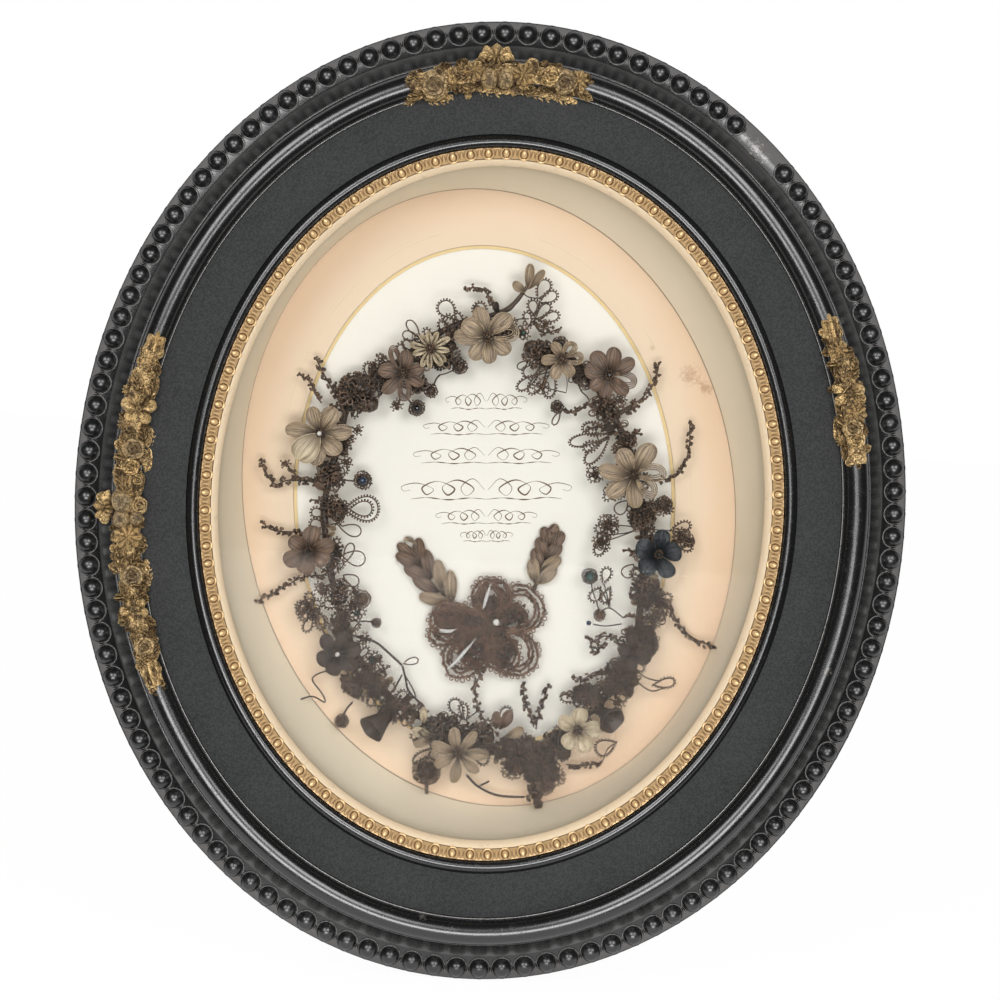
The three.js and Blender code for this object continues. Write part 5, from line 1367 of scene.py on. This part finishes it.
def edgeRings(work, places, middle):  # little rings along the edge, a fifth of them lost
    for at in places:
        if work.random.random() < 0.2:
            continue
        away, size = sideways(at - middle), work.vary(0.9, 1.5)
        hub, across = at + away * (size + 0.3) * mm, away.cross(outward)
        turns = [tau * i / 8 for i in range(8)]
        work.wire([hub + (away * cos(t) + across * sin(t)) * size * mm for t in turns], 0.45, "copper", True)


plume = {"stands": (2.2, 2.6), "width": 8.2, "locks": {1: ("taupe", "brown", "brown", "brown"),
                                                       -1: ("taupe", "taupe", "brown", "brown")}}


def makePlume(node, base, tip, seed):
    work = Hairwork(node, seed)
    a, b = (spot(place, stand) for place, stand in zip((base, tip), plume["stands"]))
    along = b - a
    turn = atan2(along.z, along.x)
    length = along.length / mm
    for i in range(4):  # pairs of looped locks, each over the one before
        for side in (-1, 1):
            at = a + along * (0.02 + 0.2 * i) + outward * (0.45 * (3 - i)) * mm
            work.petal(at, turn + side * radians(36 - 4 * i), length * (0.42 - 0.02 * i), plume["width"],
                       plume["locks"][side][i], 3, 2.2, 0.4, True, 1.6, 0.45)
    work.petal(a + along * 0.6, turn + 0.06, length * 0.44, 8.0, "brown", 3, 1.6, 0.4, True, 1.0, 0.45)
    work.wire([a - along * 0.1, a + along * 0.3], 1.5, "dark")
    if "left" in node:  # a loose wisp at the tip
        for k in range(12):
            middle = b + Vector((0.5, -0.5, 3.5 - 0.15 * k)) * mm
            end = b + Vector((6 + 0.5 * k, -0.5, 4.5 - 0.55 * k)) * mm
            work.wire(route([b - along * 0.1, middle, end], 1.0), 0.16, "taupe")
    work.make("dark_hair")


def restMaterial(material, *nodes):
    for node in nodes:
        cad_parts[node].material_slots[0].material = material


# 1.9 m from the mouldings, a little above and to the left, rolled 3 degrees as in the photo
view = {"side": 1.91, "up": 3.7, "roll": 3.0, "distance": 1.9, "aim": (0.0052, -0.060, 0.0033), "lens": 107.4}


def makeCamera():
    data = bpy.data.cameras.new("camera")
    data.sensor_width = 36
    data.lens = view["lens"]
    camera = inScene("camera", data)
    side, up, roll = (radians(view[angle]) for angle in ("side", "up", "roll"))
    forward = Vector((sin(side) * cos(up), cos(side) * cos(up), -sin(up)))
    turn = forward.to_track_quat("-Z", "Y").to_matrix().to_4x4() @ Matrix.Rotation(roll, 4, "Z")
    camera.matrix_world = Matrix.Translation(Vector(view["aim"]) - forward * view["distance"]) @ turn
    bpy.context.scene.camera = camera


def makeStage():
    finish = Finish("paleFloor", 0.9, specular=0.1)
    finish.set("Base Color", (0.9, 0.9, 0.9))
    # Seen directly, in gloss or through glass it is nearly white, with its shadow
    seen = finish.node("LightPath")
    rays = seen.value.node.outputs
    for output in ("Is Glossy Ray", "Is Transmission Ray"):
        seen = seen.maths("MAXIMUM", Wire(finish.tree, rays[output]))
    glow = finish.node("Emission", Color=(1, 1, 1), Strength=1.04)
    mixed = finish.node("MixShader", Fac=seen * 0.93, i1=finish.shader.outputs[0], i2=glow)
    finish.tree.links.new(mixed.value, finish.tree.nodes["Material Output"].inputs["Surface"])
    bm = bmesh.new()
    bmesh.ops.create_grid(bm, x_segments=2, y_segments=2, size=4)
    bmesh.ops.translate(bm, vec=(0, 3.8, cadBounds[0].z - 0.001), verts=bm.verts)  # mostly behind the object
    mesh = meshOf(bm, "floor")
    mesh.materials.append(finish.material)
    inScene("floor", mesh)


lamps = {  # place, width and height in metres, and watts
    "leftLamp": ((-0.62, -1.85, 0.62), (0.75, 0.75), 13.1),
    "rightLamp": ((0.62, -1.85, 0.62), (0.75, 0.75), 13.1),
    "lowLamp": ((0, -2.0, -0.45), (1.0, 0.5), 17.7),
}


def makeLight():
    for name, (place, size, watts) in lamps.items():
        data = bpy.data.lights.new(name, "AREA")
        data.shape, data.size, data.size_y, data.energy = "RECTANGLE", *size, watts
        aim = (-Vector(place)).to_track_quat("-Z", "Y").to_matrix().to_4x4()
        inScene(name, data).matrix_world = Matrix.Translation(place) @ aim
    world = bpy.data.worlds.new("studio")
    bpy.context.scene.world = world
    world.use_nodes = True
    tree = world.node_tree
    background = tree.nodes["Background"]
    path = tree.nodes.new("ShaderNodeLightPath")
    way = tree.nodes.new("ShaderNodeSeparateXYZ")
    tree.links.new(tree.nodes.new("ShaderNodeTexCoord").outputs["Generated"], way.inputs[0])
    # The backdrop is white and the room is dim
    behind = (Wire(tree, way.outputs[1]) * 5 - 0.3).maths("ADD", 0, clamp=True)
    direct, through, gloss = (Wire(tree, path.outputs["Is %s Ray" % kind])
                              for kind in ("Camera", "Transmission", "Glossy"))
    seen = direct.maths("MAXIMUM", through).maths("MAXIMUM", behind * gloss)
    background.inputs["Color"].default_value = (1, 1, 1, 1)
    link(tree, seen + (1 - seen) * (0.34 - 0.29 * gloss), background.inputs["Strength"])


def linerFinish():
    paper, colour = agedPaper("creamLining", (0.88, 0.79, 0.62), (0.80, 0.70, 0.53), (0.45, 0.34, 0.21), 0.25)
    out = paper.axes()[1] * -1 / mm
    foot = paper.steps((out - c["matFront"] - c["clear"]) / 2.4, (0.2, 0.75), (0.6, 0))
    colour = paper.mix(foot, colour, (0.17, 0.10, 0.055))  # painted shadow where it meets the mat
    # painted shade under the lip, fading over about 24 mm
    lip = paper.steps((c["glassBack"] - out) / 24, (0.05, 0.5), (0.2, 0.22), (1, 0))
    return paperDone(paper, paper.mix(lip, colour, (0.26, 0.225, 0.15)))


matMarks = {
    "lines": ((10.6, 0.22, 0.55), (13.2, 0.14, 0.3)),  # mm outside the opening, width, and how faint
    "stains": (((690, 372), 9, 0.7), ((706, 386), 6, 0.75), ((699, 379), 4, 0.5), ((652, 345), 3, 0.5),
               ((380, 790), 4, 0.4), ((280, 640), 5, 0.3)),  # places in the photo, radius in mm, and strength
}


def matFinish():
    paper, colour = agedPaper("peachMat", (0.79, 0.60, 0.43), (0.74, 0.54, 0.365), (0.55, 0.33, 0.18), 0.35)
    x, _, z = paper.axes()
    across, up = turned(x - c["holeShift"] * mm, z, -radians(c["holeTurn"]))
    wide, high = c["holeWidth"] / 2, c["holeHeight"] / 2

    def beyond(away):  # 0 on an oval so far outside the opening, in shares of its size
        return ((across / ((wide + away) * mm)) ** 2 + (up / ((high + away) * mm)) ** 2) ** 0.5 - 1

    reach = beyond(0) * high / 60 + (paper.noise(30, 4, 0.6) - 0.5) * 0.35
    faded = paper.steps(reach, (0.1, 0), (0.75, 1))
    colour = paper.mix(faded, (0.77, 0.625, 0.465), colour)  # paler by the opening
    for away, width, faint in matMarks["lines"]:  # ruled round the opening, worn away in places
        ruled = paper.steps(beyond(away).maths("ABSOLUTE") * high, (0, 1), (width * 0.8, 0))
        ruled *= paper.steps(paper.noise(17, 3, 0.7), (0.42, 0.15), (0.6, 1))
        colour = paper.mix(ruled * faint, colour, (0.42, 0.25, 0.14))
    for place, size, strength in matMarks["stains"]:
        near = awayFrom(fromPhoto(place, c["matFront"]), size, x, z) + (paper.noise(2, 5, 0.85) - 0.5) * 3.2
        colour = paper.mix(paper.steps(near, (0.1, strength * 0.7), (0.9, 0)), colour, (0.38, 0.21, 0.12))
    return paperDone(paper, colour)


# making the object

ebonyFinish = ebony()
giltFinish = gilding("ornamentGilt", (1.0, 0.76, 0.38), (0.95, 0.60, 0.25), (0.055, 0.027, 0.011), power=1.8,
                     depth=3.2, metallic=0.5, bare=(0.085, 0.066, 0.05), carved=1.0, sheen=0.2, veined=0.75)
eggFinish = gilding("eggGilt", (0.95, 0.68, 0.37), (0.80, 0.52, 0.24), (0.13, 0.06, 0.022), power=2.4, depth=1.8)
slipFinish = gilding("slipGilt", (0.99, 0.83, 0.60), (0.94, 0.73, 0.49), (0.40, 0.24, 0.12), metallic=0.1)
edgeFinish = gilding("edgeGilt", (1.0, 0.80, 0.45), (0.93, 0.68, 0.32), (0.45, 0.28, 0.11), metallic=0.0)
pineFinish = pineWood("carcassPine", (0.25, 0.145, 0.07), (0.15, 0.08, 0.038), (0.08, 0.047, 0.026))
boardFinish = pineWood("boardPine", (0.40, 0.27, 0.15), (0.26, 0.16, 0.08), (0.16, 0.10, 0.055), pi / 2)

makeTorus(ebonyFinish)
makePanel(panelPaint())
makeInnerBead(ebonyFinish)
makeBeadStrip(ebonyFinish)
makeEggBand(eggFinish)
makeSlip(slipFinish)
makeCarcass(pineFinish)
print("mouldings made")

for node in ornaments:
    makeOrnament(node, giltFinish)
print("ornaments made")

makeLiner(linerFinish())
makeMat(matFinish(), edgeFinish)
cardPaper = agedPaper("whiteCard", (0.86, 0.84, 0.77), (0.82, 0.79, 0.71), (0.66, 0.54, 0.38), 0.12)
restMaterial(paperDone(*cardPaper), "card")
makeBoxSide(pineFinish)
restMaterial(boardFinish, "backboard")
glass = Finish("clearGlass", 0.02)
glass.set("Base Color", (0.02, 0.03, 0.028))
glass.set("Alpha", 0.04)
restMaterial(glass.material, "glass_pane")
restMaterial(plainMetal("dullBrass", (0.46, 0.31, 0.10), (0.22, 0.14, 0.05), 0.38),
             "hanger_plate", "hanger_ring", "hanger_screw_1", "hanger_screw_2")
restMaterial(plainMetal("dullIron", (0.22, 0.20, 0.18), (0.09, 0.07, 0.06), 0.5),
             "brad_1", "brad_2", "brad_3", "brad_4", "stay_top", "stay_left", "stay_right")
makeFlourishes()
print("box made")

makeStem("stem_left", 11)
makeStem("stem_right", 12)
makeFlowers()
makeSprays()
makeTrumpet("cup_lower_left", (396, 706), (371, 727), (12, 25), 25, 61)
makeTrumpet("cup_lower_right", (600, 708), (612, 719), (15, 26), 16, 62)
makeBow()
makePlume("plume_left", (452, 602), (403, 540), 81)
makePlume("plume_right", (536, 582), (556, 524), 82)
print("hairwork made")

makeStage()
makeLight()
makeCamera()
bpy.context.scene.view_settings.view_transform = "Standard"
print("stage made")
